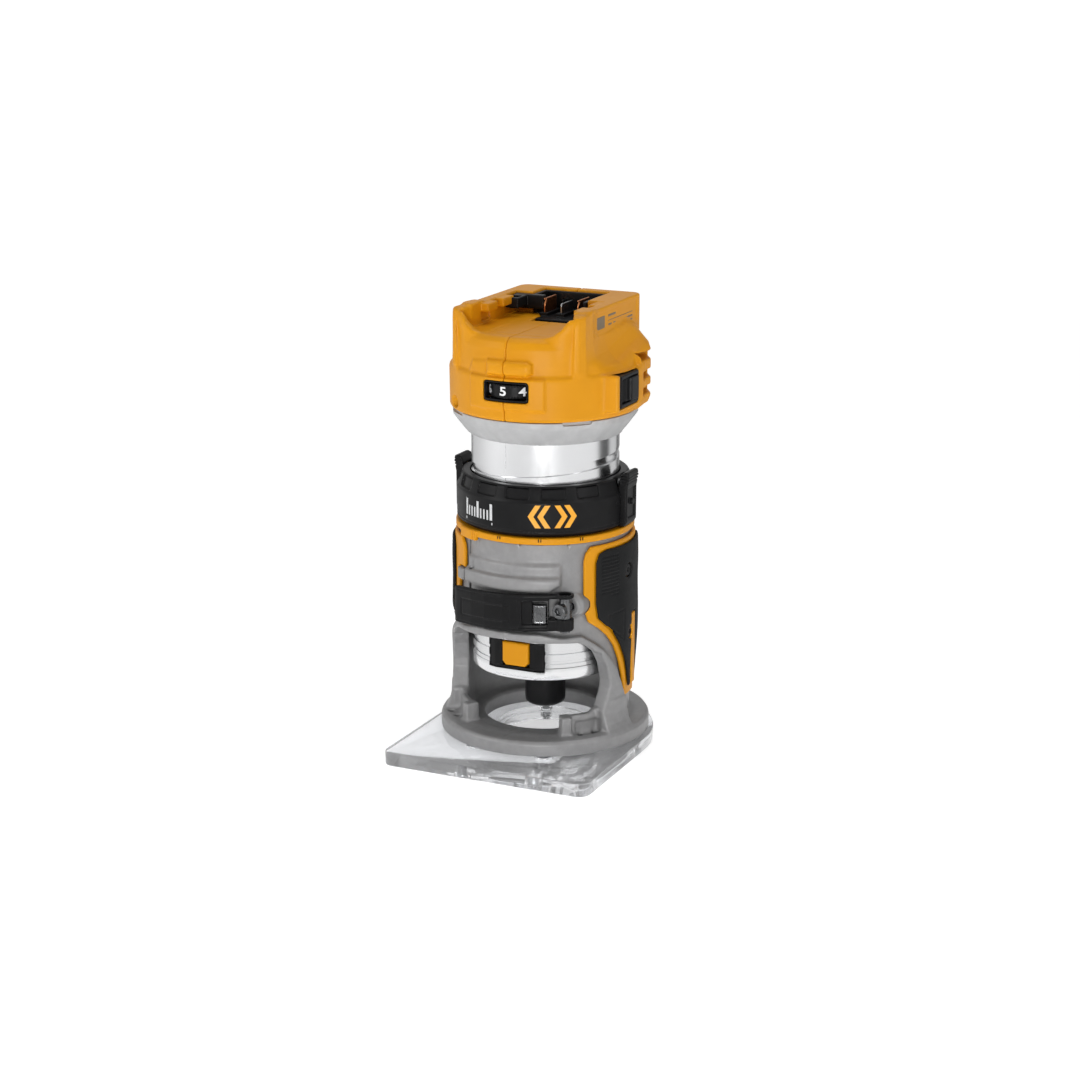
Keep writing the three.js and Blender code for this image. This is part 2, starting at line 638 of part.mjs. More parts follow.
/** Collet nut: round, with six wrench flats. */
function colletNut() {
  const { radius, low, high } = NUT;
  const outside = [[4.7, low], [radius - 1.8, low], [radius, low + 1.8], [radius, high]];
  const body = turned([...outside, [7.4, high], [7.4, 18.5], [4.7, 18.2]], 24);
  const flats = ring(0, 9.55 / Math.cos(Math.PI / 6), low - CUT, high + CUT, 6);
  return body.intersect(flats);
}

// ---------------------------------------------------------------- housing
/** Grey flared ring between the barrel and the housing. */
const motorSkirt = () =>
  turned([
    [34.9, 150.8], [36, 150.8], [40.6, 156.4], [43.1, 159.8], [43.1, 162.4], [40.8, 162.4],
    [40.8, 160.6], [37.6, 157.4], [34.9, 154.8],
  ]);

/** A rounded rectangle of [x, y] with its four corners turned. */
function roundedRect(x0, x1, y0, y1, radius) {
  const shape = new THREE.Shape();
  shape.absarc(x1 - radius, y0 + radius, radius, -0.5 * Math.PI, 0);
  shape.absarc(x1 - radius, y1 - radius, radius, 0, 0.5 * Math.PI);
  shape.absarc(x0 + radius, y1 - radius, radius, 0.5 * Math.PI, Math.PI);
  shape.absarc(x0 + radius, y0 + radius, radius, Math.PI, 1.5 * Math.PI);
  return shape;
}

// Clamshell screws, run along X: [y, z, how far their bosses reach, 0 in solid material].
const HOUSING_SCREWS = [[-31, 167, 24], [30, 168.6, 26], [-27, 190, 29], [38.7, 204, 0]];

/** Outer form of the housing before its hollows are cut. */
function housingForm() {
  const drum = turned([
    [0, BELT.low], [43.4, BELT.low], [44.2, 164], [BELT.radius, 181], [43.8, BELT.high],
    [43.4, 188], [42.5, 197], [41.4, 199.6], [40, BAY.floor], [0, BAY.floor],
  ]);
  const shoulder = lofted(
    [[163.4, 43.6], [167, 45], [191, 45], [197, 39.5], [BAY.floor, 33]].map(([z, half]) => [
      new THREE.Vector3(-half, 6, z), new THREE.Vector3(half, 6, z),
      new THREE.Vector3(half, 19, z), new THREE.Vector3(half - 9, 33, z),
      new THREE.Vector3(half - 21, 41.5, z), new THREE.Vector3(21 - half, 41.5, z),
      new THREE.Vector3(9 - half, 33, z), new THREE.Vector3(-half, 19, z),
    ]),
  );
  const box = upright(roundedRect(-31, 31, -24, 42, 5), 190, BAY.top, 5);
  const hornPlan = [
    [25.2, -22.5], [27.4, -29.4], [30, -32.8], [31.6, -32.2], [33, -30.5], [33, -20.5],
    [30, -15], [25.2, -15],
  ];
  const horns = [-1, 1].map((side) =>
    upright(hornPlan.map(([x, y]) => [side * x, y]), 184, 211.3),
  );
  const saddle = (side) => {
    const curve = [
      [60, 183.4], [43.9, 183.4], [37.5, 187], [33.4, 192], [31.2, 198], [31.2, 220], [60, 220],
    ];
    const ledge = [[60, 183.4], [33, 183.4], [33, 220], [60, 220]];
    const flip = (points) => points.map(([x, z]) => [side * x, z]);
    return joined(alongY(flip(curve), -21, 13), alongY(flip(ledge), -30.6, -20.5));
  };
  const dialPad = band(-24, 24, 40, 45.6, 168.5, 182.6);
  const ridge = band(-25, 19, 38, 45, 184.6, 191.2);
  const pod = block(40, 45.8, -22, 11, 166, 183);
  const solid = cutBy(joined(drum, shoulder), saddle(1), saddle(-1));
  return joined(solid, box, ...horns, dialPad, ridge, pod);
}

/** The housing's hollows: motor space, battery bay, rails, windows, vents and screw ways. */
function housingWhole() {
  const motorSpace = ring(0, 40.9, BELT.low - CUT, 180.4);
  const upperSpace = block(-27.6, 27.6, -31, 37, 179, 197.6);
  const bay = block(-BAY.half, BAY.half, -60, BAY.back, BAY.floor, 220);
  const tub = block(-TUB.half, TUB.half, BAY.back - CUT, TUB.back, 190, 220);
  const { left, right, low, high } = DIAL_WINDOW;
  const dialWindow = block(left, right, -50, -38, low, high);
  const wheelSpace = ring(0, DIAL.radius + 0.5, low, high, 42, DIAL.x, DIAL.y);
  const axleWay = ring(0, 2.3, low - 1.2, high + 1.2, 14, DIAL.x, DIAL.y);
  const switchWindow = block(
    30, 60, SWITCH.front - GAP, SWITCH.back + GAP, SWITCH.low - GAP, SWITCH.high + GAP,
  );
  const vents = [-1, 1].flatMap((side) =>
    [[169.5, 173], [176, 179.5], [182.5, 186]].map(([z0, z1]) =>
      wrapped([[100, z0], [123, z0]], [[100, z1], [123, z1]], 36, 60, side),
    ),
  );
  const bosses = HOUSING_SCREWS.filter(([, , reach]) => reach > 0).map(([y, z, reach]) =>
    bar(3.9, new THREE.Vector3(-reach, y, z), new THREE.Vector3(reach, y, z), 14),
  );
  const rails = [-1, 1].map((side) => {
    const edges = [side * 21.2, side * 26].sort((a, b) => a - b);
    const rail = block(...edges, -16, BAY.back + CUT, 206.4, 210.2);
    const notch = [side * 20, side * 25].sort((a, b) => a - b);
    return cutBy(rail, block(...notch, -6, 0, 205, 211));
  });
  const screwWays = HOUSING_SCREWS.flatMap(([y, z]) => {
    const at = (x) => new THREE.Vector3(x, y, z);
    return [bar(2.9, at(-60), at(-22), 14), bar(1.8, at(-23), at(13), 12)];
  });
  const hollow = cutBy(
    housingForm(), motorSpace, upperSpace, bay, tub, dialWindow, wheelSpace, axleWay,
    switchWindow, ...vents,
  );
  return cutBy(joined(hollow, ...bosses, ...rails), ...screwWays);
}

function housingScrew([y, z]) {
  const at = (x) => new THREE.Vector3(x, y, z);
  const head = bar(2.5, at(-24.8), at(-22.3), 14);
  return joined(head, bar(1.5, at(-22.6), at(12), 12));
}

/** Tub that carries the battery terminals behind the bay. */
function terminalBlock() {
  const half = TUB.half - GAP;
  const outer = block(-half, half, BAY.back - 0.6, TUB.back - GAP, 198, 209.6);
  const inner = block(-half + 1.8, half - 1.8, 0, TUB.back - GAP - 2, BAY.floor, 220);
  const slots = BLADES.map((x) => block(x - 0.8, x + 0.8, 17, 31, 190, 204));
  return cutBy(outer, inner, ...slots);
}

const BLADES = [-8.5, 0, 8.5];
const terminalBlade = (x) => block(x - 0.45, x + 0.45, 17.4, 30.4, 198.4, 206.6);

/** Number wheel of the speed control, on its own stub axle. */
function speedDial() {
  const { x, y, radius, low, high } = DIAL;
  return joined(ring(0, radius, low, high, 42, x, y), ring(0, 1.9, low - 2.2, high + 2.2, 14, x, y));
}

/** Black bezel round the number wheel. */
function dialBezel() {
  const { x, y, radius, low, high } = DIAL;
  const plate = band(-11.9, 13.7, 41.6, 44.9, DIAL_WINDOW.low + GAP, DIAL_WINDOW.high - GAP);
  return cutBy(plate, ring(0, radius + 0.4, low - 0.4, high + 0.4, 42, x, y));
}

/** Black frame round the power switch. */
function switchBezel() {
  const { front, back, low, high } = SWITCH;
  const frame = block(38.6, 46.1, front, back, low, high);
  return cutBy(frame, block(30, 50, front + 1.6, back - 1.6, low + 1.8, high - 1.8));
}

/** Rocker of the power switch, its rear half raised when off. */
function powerRocker() {
  const { pivotX, pivotY } = SWITCH;
  const profile = [
    [pivotX - 2.4, -3.4], [pivotX + 1.9, -8.4], [pivotX + 2.6, -0.3], [pivotX + 3.9, 0.2],
    [pivotX + 4.1, 7.9], [pivotX + 1, 8.5], [pivotX - 2.4, 3.4],
  ];
  return upright(profile.map(([x, y]) => [x, y + pivotY]), SWITCH.low + 2.1, SWITCH.high - 2.1);
}

const switchModule = () => block(24, 36.4, -16, -1, SWITCH.low + 1.6, SWITCH.high - 3.6);

/** Control board under the battery bay. */
const controlBoard = () => block(-24, 24, -20, 8, 184, 185.6);

// ---------------------------------------------------------------- assembly
piece("sub_base", subBase(), CLEAR);
SUB_BASE_SCREWS.forEach((spot, i) => piece("sub_base_screw_" + (i + 1), subBaseScrew(spot), STEEL));
piece("base_casting", baseCasting(), CAST);
piece("trim_ring", trimRing(), YELLOW);
piece("guide_pin", guidePin(), STEEL);
for (const side of Object.keys(SIDES)) {
  piece("grip_frame_" + side, gripFrame(side), YELLOW);
  piece("grip_pad_" + side, gripPad(side), RUBBER);
  for (const [place, spot] of Object.entries(GRIP_SCREWS)) {
    piece("grip_screw_" + side + "_" + place, gripScrew(side, spot), STEEL);
  }
}

piece("lock_lever", lockLever(), BLACK);
piece("lever_pin", leverPin(), STEEL);
piece("tension_screw", tensionScrew(), STEEL);
piece("clamp_barrel", clampBarrel(), STEEL);

piece("depth_ring", depthRing(), BLACK);
for (const [name, side] of Object.entries(SIDES)) {
  piece("release_tab_" + name, releaseTab(side), BLACK);
  piece("tab_pin_" + name, tabPin(side), STEEL);
  piece("tab_spring_" + name, tabSpring(side), STEEL);
}

piece("motor_can", motorCan(), MACHINED);
piece("lock_panel", lockPanel(), BLACK);
piece("lock_button", lockButton(), YELLOW);
piece("lock_spring", lockSpring(), STEEL);
for (const [side, spot] of Object.entries(LAMPS)) piece("lamp_lens_" + side, lampLens(spot), LENS);
piece("stator", stator(), STEEL);
piece("stator_windings", statorWindings(), COPPER);
piece("motor_end_plate", motorEndPlate(), CAST);
piece("lower_bearing", lowerBearing(), STEEL);
piece("upper_bearing", upperBearing(), STEEL);
piece("motor_shaft", motorShaft(), STEEL);
piece("rotor_core", rotorCore(), STEEL);
piece("cooling_fan", coolingFan(), BLACK);
piece("collet", collet(), STEEL);
piece("collet_nut", colletNut(), BLACK);

piece("motor_skirt", motorSkirt(), SKIRT_GREY);
const housing = housingWhole();
piece("housing_left", cutBy(housing, block(-0.15, 60, -60, 60, 150, 230)), YELLOW);
piece("housing_right", cutBy(housing, block(-60, 0.15, -60, 60, 150, 230)), YELLOW);
HOUSING_SCREWS.forEach((spot, i) => piece("housing_screw_" + (i + 1), housingScrew(spot), STEEL));
piece("terminal_block", terminalBlock(), BLACK);
BLADES.forEach((x, i) => piece("terminal_blade_" + (i + 1), terminalBlade(x), STEEL));
piece("speed_dial", speedDial(), BLACK);
piece("dial_bezel", dialBezel(), BLACK);
piece("switch_bezel", switchBezel(), BLACK);
piece("power_rocker", powerRocker(), BLACK);
piece("switch_module", switchModule(), BLACK);
piece("control_board", controlBoard(), BOARD);

export default router;
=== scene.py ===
"""Looks of the trim router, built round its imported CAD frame. Lengths are in millimetres and measured
from the spindle axis until a mesh is made; a bearing is an angle round the spindle in degrees, 0 at
the front and positive towards the right."""

import json
import math

import bmesh
import bpy
import numpy as np
from mathutils import Matrix, Vector

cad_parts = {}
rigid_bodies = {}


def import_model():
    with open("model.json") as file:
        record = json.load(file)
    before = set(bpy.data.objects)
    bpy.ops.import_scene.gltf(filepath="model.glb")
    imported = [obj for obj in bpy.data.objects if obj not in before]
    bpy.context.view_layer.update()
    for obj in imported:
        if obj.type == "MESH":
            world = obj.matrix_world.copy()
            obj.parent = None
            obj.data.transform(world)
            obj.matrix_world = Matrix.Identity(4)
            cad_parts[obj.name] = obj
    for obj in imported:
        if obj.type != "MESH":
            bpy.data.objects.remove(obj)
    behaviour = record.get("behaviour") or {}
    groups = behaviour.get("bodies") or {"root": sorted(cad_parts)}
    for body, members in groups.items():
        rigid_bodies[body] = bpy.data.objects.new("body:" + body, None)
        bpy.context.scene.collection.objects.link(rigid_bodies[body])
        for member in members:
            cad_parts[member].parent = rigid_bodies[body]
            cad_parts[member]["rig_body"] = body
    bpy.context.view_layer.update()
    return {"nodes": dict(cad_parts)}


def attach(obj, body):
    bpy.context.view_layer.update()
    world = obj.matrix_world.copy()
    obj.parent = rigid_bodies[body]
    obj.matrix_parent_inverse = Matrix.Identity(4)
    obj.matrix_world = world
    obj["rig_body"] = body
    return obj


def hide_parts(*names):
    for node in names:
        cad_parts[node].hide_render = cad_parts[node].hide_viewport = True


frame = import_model()
NODES = frame["nodes"]

MM = 0.001
SPINDLE = Vector((0.0, 9.0, 0.0))  # where the spindle axis stands in the row frame
DEG = math.pi / 180

# ---------------------------------------------------------------- camera and lamps
AZIMUTH, ELEVATION = 24.84 * DEG, 15.32 * DEG
DISTANCE, ASIDE, ABOVE = 1149.62, -2.51, 93.46
LENS, SENSOR = 79.498, 36.0


def add(name, data):
    obj = bpy.data.objects.new(name, data)
    bpy.context.scene.collection.objects.link(obj)
    return obj


def make_camera():
    back = Vector(
        (
            math.cos(ELEVATION) * math.sin(AZIMUTH),
            -math.cos(ELEVATION) * math.cos(AZIMUTH),
            math.sin(ELEVATION),
        )
    )
    right = Vector((math.cos(AZIMUTH), math.sin(AZIMUTH), 0))
    up = back.cross(right)
    data = bpy.data.cameras.new("camera")
    data.lens, data.sensor_width = LENS, SENSOR
    data.clip_start, data.clip_end = 0.05, 30
    camera = add("camera", data)
    place = SPINDLE + back * DISTANCE + right * ASIDE + up * ABOVE
    turn = Matrix((right, up, back)).transposed().to_4x4()
    camera.matrix_world = Matrix.Translation(place * MM) @ turn
    bpy.context.scene.camera = camera


def soft_light(name, place, target, size, power):
    data = bpy.data.lights.new(name, "AREA")
    data.shape, data.size, data.size_y = "RECTANGLE", *size
    data.energy = power
    lamp = add(name, data)
    way = Vector(target) - Vector(place)
    lamp.location = place
    lamp.rotation_mode = "QUATERNION"
    lamp.rotation_quaternion = way.to_track_quat("-Z", "Y")


# ---------------------------------------------------------------- materials
def wire(tree, source, output, target, socket):
    tree.links.new(source.outputs[output], target.inputs[socket])


def node(tree, kind, **values):
    made = tree.nodes.new(kind)
    for key, value in values.items():
        if hasattr(made, key):
            setattr(made, key, value)
        else:
            made.inputs[key.replace("_", " ").title()].default_value = value
    return made


def finish_of(
    name,
    colour,
    other,
    rough,
    patch,
    grain,
    bump,
    depth=0.0002,
    stretch=(1, 1, 1),
    detail=3,
    **shader,
):
    """A procedural finish: two colours mixed in patches, uneven gloss and a fine surface grain."""
    made = bpy.data.materials.new(name)
    made.use_nodes = True
    tree = made.node_tree
    surface = tree.nodes["Principled BSDF"]
    for key, value in shader.items():
        surface.inputs[key.replace("_", " ")].default_value = value
    place = node(tree, "ShaderNodeTexCoord")
    shape = node(tree, "ShaderNodeMapping")
    shape.inputs["Scale"].default_value = stretch
    wire(tree, place, "Object", shape, "Vector")
    clouds = node(tree, "ShaderNodeTexNoise", Scale=patch, Detail=4.0)
    wire(tree, place, "Object", clouds, "Vector")
    ramp = node(tree, "ShaderNodeValToRGB")
    ramp.color_ramp.elements[0].position, ramp.color_ramp.elements[1].position = 0.35, 0.7
    ramp.color_ramp.elements[0].color = (*colour, 1)
    ramp.color_ramp.elements[1].color = (*other, 1)
    wire(tree, clouds, "Fac", ramp, "Fac")
    wire(tree, ramp, "Color", surface, "Base Color")
    fine = node(tree, "ShaderNodeTexNoise", Scale=grain, Detail=float(detail))
    wire(tree, shape, "Vector", fine, "Vector")
    spread = node(tree, "ShaderNodeMapRange")
    spread.inputs["To Min"].default_value, spread.inputs["To Max"].default_value = rough
    gloss = node(tree, "ShaderNodeTexNoise", Scale=patch * 4, Detail=3.0)
    wire(tree, shape, "Vector", gloss, "Vector")
    wire(tree, gloss, "Fac", spread, "Value")
    wire(tree, spread, "Result", surface, "Roughness")
    relief = node(tree, "ShaderNodeBump", Strength=bump, Distance=depth)
    wire(tree, fine, "Fac", relief, "Height")
    wire(tree, relief, "Normal", surface, "Normal")
    return made


YELLOW = finish_of(
    "yellow_plastic", (0.68, 0.285, 0.003), (0.65, 0.266, 0.0027), (0.36, 0.46), 45, 2600, 0.10,
    Specular_IOR_Level=0.2,
)
BLACK = finish_of(
    "black_plastic", (0.0065, 0.0065, 0.007), (0.010, 0.010, 0.0105), (0.28, 0.40), 70, 2200, 0.12,
    Specular_IOR_Level=0.14,
)
RUBBER = finish_of(
    "grip_rubber", (0.009, 0.0095, 0.010), (0.013, 0.0135, 0.014), (0.46, 0.62), 80, 1600, 0.35,
    Specular_IOR_Level=0.14,
)
CAST = finish_of(
    "cast_metal", (0.252, 0.250, 0.252), (0.285, 0.283, 0.285), (0.40, 0.52), 300, 1500, 0.35,
    Metallic=0.3,
)
SKIRT = finish_of(
    "skirt_metal", (0.44, 0.442, 0.446), (0.50, 0.502, 0.506), (0.40, 0.52), 220, 1500, 0.25,
    Metallic=0.3,
)
MACHINED = finish_of(
    "machined_metal", (0.74, 0.745, 0.755), (0.80, 0.805, 0.815), (0.16, 0.24), 30, 900, 0.05,
    0.0001, (0.02, 0.02, 6.0), 4, Metallic=1.0,
)
STEEL = finish_of(
    "steel", (0.36, 0.365, 0.37), (0.44, 0.445, 0.45), (0.25, 0.38), 120, 1400, 0.12, Metallic=1.0,
)
DARK_STEEL = finish_of(
    "black_steel", (0.010, 0.010, 0.0105), (0.016, 0.016, 0.017), (0.36, 0.48), 90, 1300, 0.15,
    Specular_IOR_Level=0.15,
)
GUN = finish_of(
    "dark_steel", (0.13, 0.132, 0.136), (0.18, 0.182, 0.186), (0.22, 0.34), 140, 1400, 0.12, Metallic=1.0,
)
COPPER = finish_of(
    "copper", (0.66, 0.27, 0.11), (0.52, 0.20, 0.08), (0.25, 0.4), 90, 1500, 0.12, Metallic=1.0,
)
BOARD = finish_of(
    "circuit_board", (0.012, 0.09, 0.045), (0.02, 0.12, 0.06), (0.3, 0.45), 150, 900, 0.1,
)
LAMP = finish_of(
    "lens", (0.85, 0.88, 0.9), (0.8, 0.84, 0.88), (0.08, 0.14), 60, 800, 0.03, Transmission_Weight=0.7,
)
CLEAR = finish_of(
    "clear_plastic", (0.80, 0.81, 0.83), (0.76, 0.77, 0.79), (0.01, 0.03), 30, 300, 0.012,
    Transmission_Weight=1.0, IOR=1.49, Alpha=0.9,
)
SILVER_PRINT = finish_of(
    "silver_print", (0.62, 0.63, 0.64), (0.7, 0.71, 0.72), (0.35, 0.45), 200, 1500, 0.08, Metallic=0.4,
)
YELLOW_PRINT = finish_of(
    "yellow_print", (0.88, 0.40, 0.02), (0.84, 0.37, 0.018), (0.35, 0.45), 200, 1500, 0.08,
)
WHITE_PRINT = finish_of(
    "white_print", (0.85, 0.85, 0.85), (0.78, 0.78, 0.78), (0.35, 0.45), 200, 1500, 0.08,
)
GREY_PRINT = finish_of(
    "grey_print", (0.17, 0.13, 0.08), (0.2, 0.15, 0.09), (0.4, 0.5), 200, 1500, 0.08,
)


# ---------------------------------------------------------------- meshes
def mesh_of(name, points, faces, material, sharp=None):
    """A smooth-shaded mesh object from points in mm on the spindle axis and faces of equal length."""
    data = bpy.data.meshes.new(name)
    points = (np.asarray(points, np.float64) + np.array(SPINDLE)) * MM
    faces = np.asarray(faces, np.int32)
    sides = faces.shape[1]
    data.vertices.add(len(points))
    data.vertices.foreach_set("co", points.astype(np.float32).ravel())
    data.loops.add(faces.size)
    data.loops.foreach_set("vertex_index", faces.ravel())
    data.polygons.add(len(faces))
    data.polygons.foreach_set("loop_start", np.arange(0, faces.size, sides, dtype=np.int32))
    data.update(calc_edges=True)
    data.validate()
    data.materials.append(material)
    data.shade_smooth()
    if sharp:
        data.set_sharp_from_angle(angle=sharp * DEG)
    return add(name, data)


def plain_mesh(name, points, faces, material):
    """A mesh object from points in mm on the spindle axis and faces of any length."""
    data = bpy.data.meshes.new(name)
    data.from_pydata([(Vector(p) + SPINDLE) * MM for p in points], [], faces)
    data.materials.append(material)
    return add(name, data)


def band_faces(rows, sides, start=0):
    """Quads between closed rows of points that follow each other in one list."""
    faces = []
    for row in range(start, start + (rows - 1) * sides, sides):
        for i in range(sides):
            k = (i + 1) % sides
            faces.append((row + i, row + k, row + sides + k, row + sides + i))
    return faces


def end_faces(rows, sides):
    """The two flat ends of such a list of rows."""
    return [tuple(reversed(range(sides))), tuple(range((rows - 1) * sides, rows * sides))]


def settle(obj, sharp=None):
    """Applies an object's modifiers to its mesh."""
    graph = bpy.context.evaluated_depsgraph_get()
    data = bpy.data.meshes.new_from_object(obj.evaluated_get(graph), depsgraph=graph)
    obj.modifiers.clear()
    old, obj.data = obj.data, data
    bpy.data.meshes.remove(old)
    if sharp:
        data.shade_smooth()
        data.set_sharp_from_angle(angle=sharp * DEG)
    return obj


def thin(obj, faces):
    """Cuts the number of faces, keeping flat faces flat in shading."""
    now = len(obj.data.polygons) * 2
    if now > faces:
        less = obj.modifiers.new("less", "DECIMATE")
        less.ratio = faces / now
        settle(obj)
    even = obj.modifiers.new("even", "WEIGHTED_NORMAL")
    even.weight, even.keep_sharp = 50, True
    return obj


def cut_away(obj, cutters, sharp):
    """Takes closed meshes out of an object and removes them."""
    for cutter in cutters:
        taken = obj.modifiers.new("cut", "BOOLEAN")
        taken.operation, taken.solver, taken.object = "DIFFERENCE", "MANIFOLD", cutter
    bpy.context.view_layer.update()
    settle(obj, sharp)
    for cutter in cutters:
        bpy.data.objects.remove(cutter)
    return obj


def fit(obj, body, slot, *replaced):
    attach(obj, body)
    if replaced:
        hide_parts(*replaced)
    return obj


# ---------------------------------------------------------------- moulded forms
def outline_distance(points, u, v):
    """Signed distance in a plane from a closed outline, negative inside."""
    u, v = np.broadcast_arrays(u, v)
    nearest = np.full(u.shape, 1e12)
    inside = np.zeros(u.shape, bool)
    for (au, av), (bu, bv) in zip(points, points[1:] + points[:1]):
        eu, ev = bu - au, bv - av
        wu, wv = u - au, v - av
        t = np.clip((wu * eu + wv * ev) / (eu * eu + ev * ev), 0, 1)
        nearest = np.minimum(nearest, (wu - eu * t) ** 2 + (wv - ev * t) ** 2)
        if ev:
            inside ^= ((av <= v) != (bv <= v)) & (u < au + wv * eu / ev)
    away = np.sqrt(nearest)
    return np.where(inside, -away, away).astype(np.float32)


def plus(a, b, soft=0.0):
    """Union of two distance fields, with a fillet about as wide as soft."""
    if not soft:
        return np.minimum(a, b)
    near = np.maximum(soft - np.abs(a - b), 0) / soft
    return np.minimum(a, b) - near * near * soft * 0.25


def both(a, b, soft=0.0):
    return -plus(-a, -b, soft)


def minus(a, b, soft=0.0):
    return -plus(-a, b, soft)


def sunk(body, plan, depth, soft):
    """Body with its skin set back by depth where plan is negative."""
    return both(body, plus(-plan, body + depth, soft), soft)


def slab(low, high, value):
    return np.maximum(low - value, value - high)


class Space:
    """A box of sample points, in mm, in which one moulded form is described."""

    def __init__(self, x, y, z, step):
        self.step = step
        axes = [
            np.arange(low - 2 * step, high + 3 * step, step, dtype=np.float32) for low, high in (x, y, z)
        ]
        self.corner = np.array([axis[0] for axis in axes], np.float64)
        self.x, self.y, self.z = axes[0][:, None, None], axes[1][None, :, None], axes[2][None, None, :]
        self.r = np.hypot(self.x, self.y)
        self.bearing = np.degrees(np.arctan2(self.x, -self.y))

    def swept(self, points, across):
        """Distance from an outline of (across, z), where across is known in plan."""
        fine = self.step / 2
        start = float(across.min())
        table = outline_distance(
            points, np.arange(start, float(across.max()) + 2 * fine, fine)[:, None], self.z[0]
        )
        place = (across[..., 0] - start) / fine
        low = np.minimum(place.astype(np.int32), len(table) - 2)
        part = (place - low)[..., None].astype(np.float32)
        return table[low] * (1 - part) + table[low + 1] * part

    def turned(self, points):
        return self.swept(points, self.r)

    def disc(self, radius, low, high, centre=(0, 0), soft=0.0):
        away = np.hypot(self.x - centre[0], self.y - centre[1]) - radius
        return both(away, slab(low, high, self.z), soft)

    def patch(self, low, high, radius, side=1):
        """Distance, on a cylinder, from a region between two lines of [bearing, z]."""
        scale = radius * DEG
        points = [(b * scale, z) for b, z in low] + [(b * scale, z) for b, z in reversed(high)]
        return self.swept(points, side * self.bearing * scale)

    def wrapped(self, low, high, inner, outer, side, soft):
        return both(self.patch(low, high, outer, side), slab(inner, outer, self.r), soft)

    def band(self, start, end, inner, outer, low, high, soft, side=1):
        """A block between two bearings, radii and heights."""
        lower, upper = [(start, low), (end, low)], [(start, high), (end, high)]
        return self.wrapped(lower, upper, inner, outer, side, soft)

    def box(self, x, y, z, soft=0.0):
        return both(both(slab(*x, self.x), slab(*y, self.y), soft), slab(*z, self.z), soft)

    def prism(self, points, low, high, soft=0.0):
        """Outline of (x, y) between two heights."""
        return both(outline_distance(points, self.x, self.y), slab(low, high, self.z), soft)

    def along_x(self, points, start, end):
        """Outline of (y, z) run along X."""
        return both(outline_distance(points, self.y, self.z), slab(start, end, self.x))

    def along_y(self, points, start, end, soft):
        """Outline of (x, z) run along Y."""
        return both(outline_distance(points, self.x, self.z), slab(start, end, self.y), soft)

    def rod(self, start, end, radius, soft=0.0):
        way = np.array(end, float) - np.array(start, float)
        length = np.linalg.norm(way)
        way /= length
        px, py, pz = self.x - start[0], self.y - start[1], self.z - start[2]
        along = px * way[0] + py * way[1] + pz * way[2]
        across = np.sqrt(np.maximum(px * px + py * py + pz * pz - along * along, 0))
        return both(across - radius, slab(0, length, along), soft)

    def surface(self, name, field, material, faces=None, place=None):
        """The mesh of the field's zero surface: one point per cell that it crosses."""
        field = np.broadcast_to(
            field, (self.x.shape[0], self.y.shape[1], self.z.shape[2])
        ).astype(np.float32)
        inner = field < 0
        for side in (inner[0], inner[-1], inner[:, 0], inner[:, -1], inner[:, :, 0], inner[:, :, -1]):
            if side.any():
                raise ValueError(name + " reaches past its box")
        near = [slice(0, -1), slice(1, None)]
        corners = [(i, j, k) for i in (0, 1) for j in (0, 1) for k in (0, 1)]
        count = sum(inner[near[i], near[j], near[k]].astype(np.int8) for i, j, k in corners)
        mixed = (count > 0) & (count < 8)
        cells = np.argwhere(mixed)
        number = np.full(mixed.shape, -1, np.int32)
        number[mixed] = np.arange(len(cells))
        value = {c: field[tuple((cells + c).T)] for c in corners}
        total, hits = np.zeros((len(cells), 3)), np.zeros(len(cells))
        for a in corners:
            for axis in range(3):
                if a[axis]:
                    continue
                b = tuple(1 if i == axis else a[i] for i in range(3))
                va, vb = value[a], value[b]
                crossed = (va < 0) != (vb < 0)
                t = np.where(crossed, va / np.where(va == vb, 1, va - vb), 0)
                point = np.tile(np.array(a, float), (len(cells), 1))
                point[:, axis] += t
                total += point * crossed[:, None]
                hits += crossed
        points = self.corner + (cells + total / hits[:, None]) * self.step
        quads = []
        for axis in range(3):
            u, v = (axis + 1) % 3, (axis + 2) % 3
            low, high = [slice(None)] * 3, [slice(None)] * 3
            low[axis], high[axis] = near
            change = inner[tuple(low)] != inner[tuple(high)]
            edges = np.argwhere(change)
            edges = edges[(edges[:, u] > 0) & (edges[:, v] > 0)]
            outward = inner[tuple(edges.T)]
            ring = []
            for du, dv in ((-1, -1), (0, -1), (0, 0), (-1, 0)):
                cell = edges.copy()
                cell[:, u] += du
                cell[:, v] += dv
                ring.append(number[tuple(cell.T)])
            ring = np.stack(ring, 1)
            ring[~outward] = ring[~outward][:, ::-1]
            quads.append(ring)
        if place is not None:
            points = points @ np.array(place.to_3x3()).T + np.array(place.translation)
        obj = mesh_of(name, points, np.concatenate(quads), material)
        return thin(obj, faces) if faces else obj


def lathe(name, profile, material, sides, shape=None, sharp=35, centre=(0, 0)):
    """A closed profile of (radius, z) turned round a vertical axis; shape may alter each point."""
    bearings = np.arange(sides) * 2 * math.pi / sides
    profile = np.array(profile, float)
    radius = np.repeat(profile[:, 0:1], sides, 1)
    height = np.repeat(profile[:, 1:2], sides, 1)
    if shape is not None:
        radius, height = shape(radius, height, np.degrees(bearings)[None, :])
    points = np.stack(
        [centre[0] + radius * np.sin(bearings), centre[1] - radius * np.cos(bearings), height], -1
    )
    rows = len(profile)
    j, i = np.meshgrid(np.arange(rows), np.arange(sides), indexing="ij")
    following, beside = (j + 1) % rows, (i + 1) % sides
    faces = np.stack(
        [j * sides + i, j * sides + beside, following * sides + beside, following * sides + i], -1
    )
    return mesh_of(name, points.reshape(-1, 3), faces.reshape(-1, 4), material, sharp)


def polar(radius, bearing, z=0.0):
    return (radius * math.sin(bearing * DEG), -radius * math.cos(bearing * DEG), z)


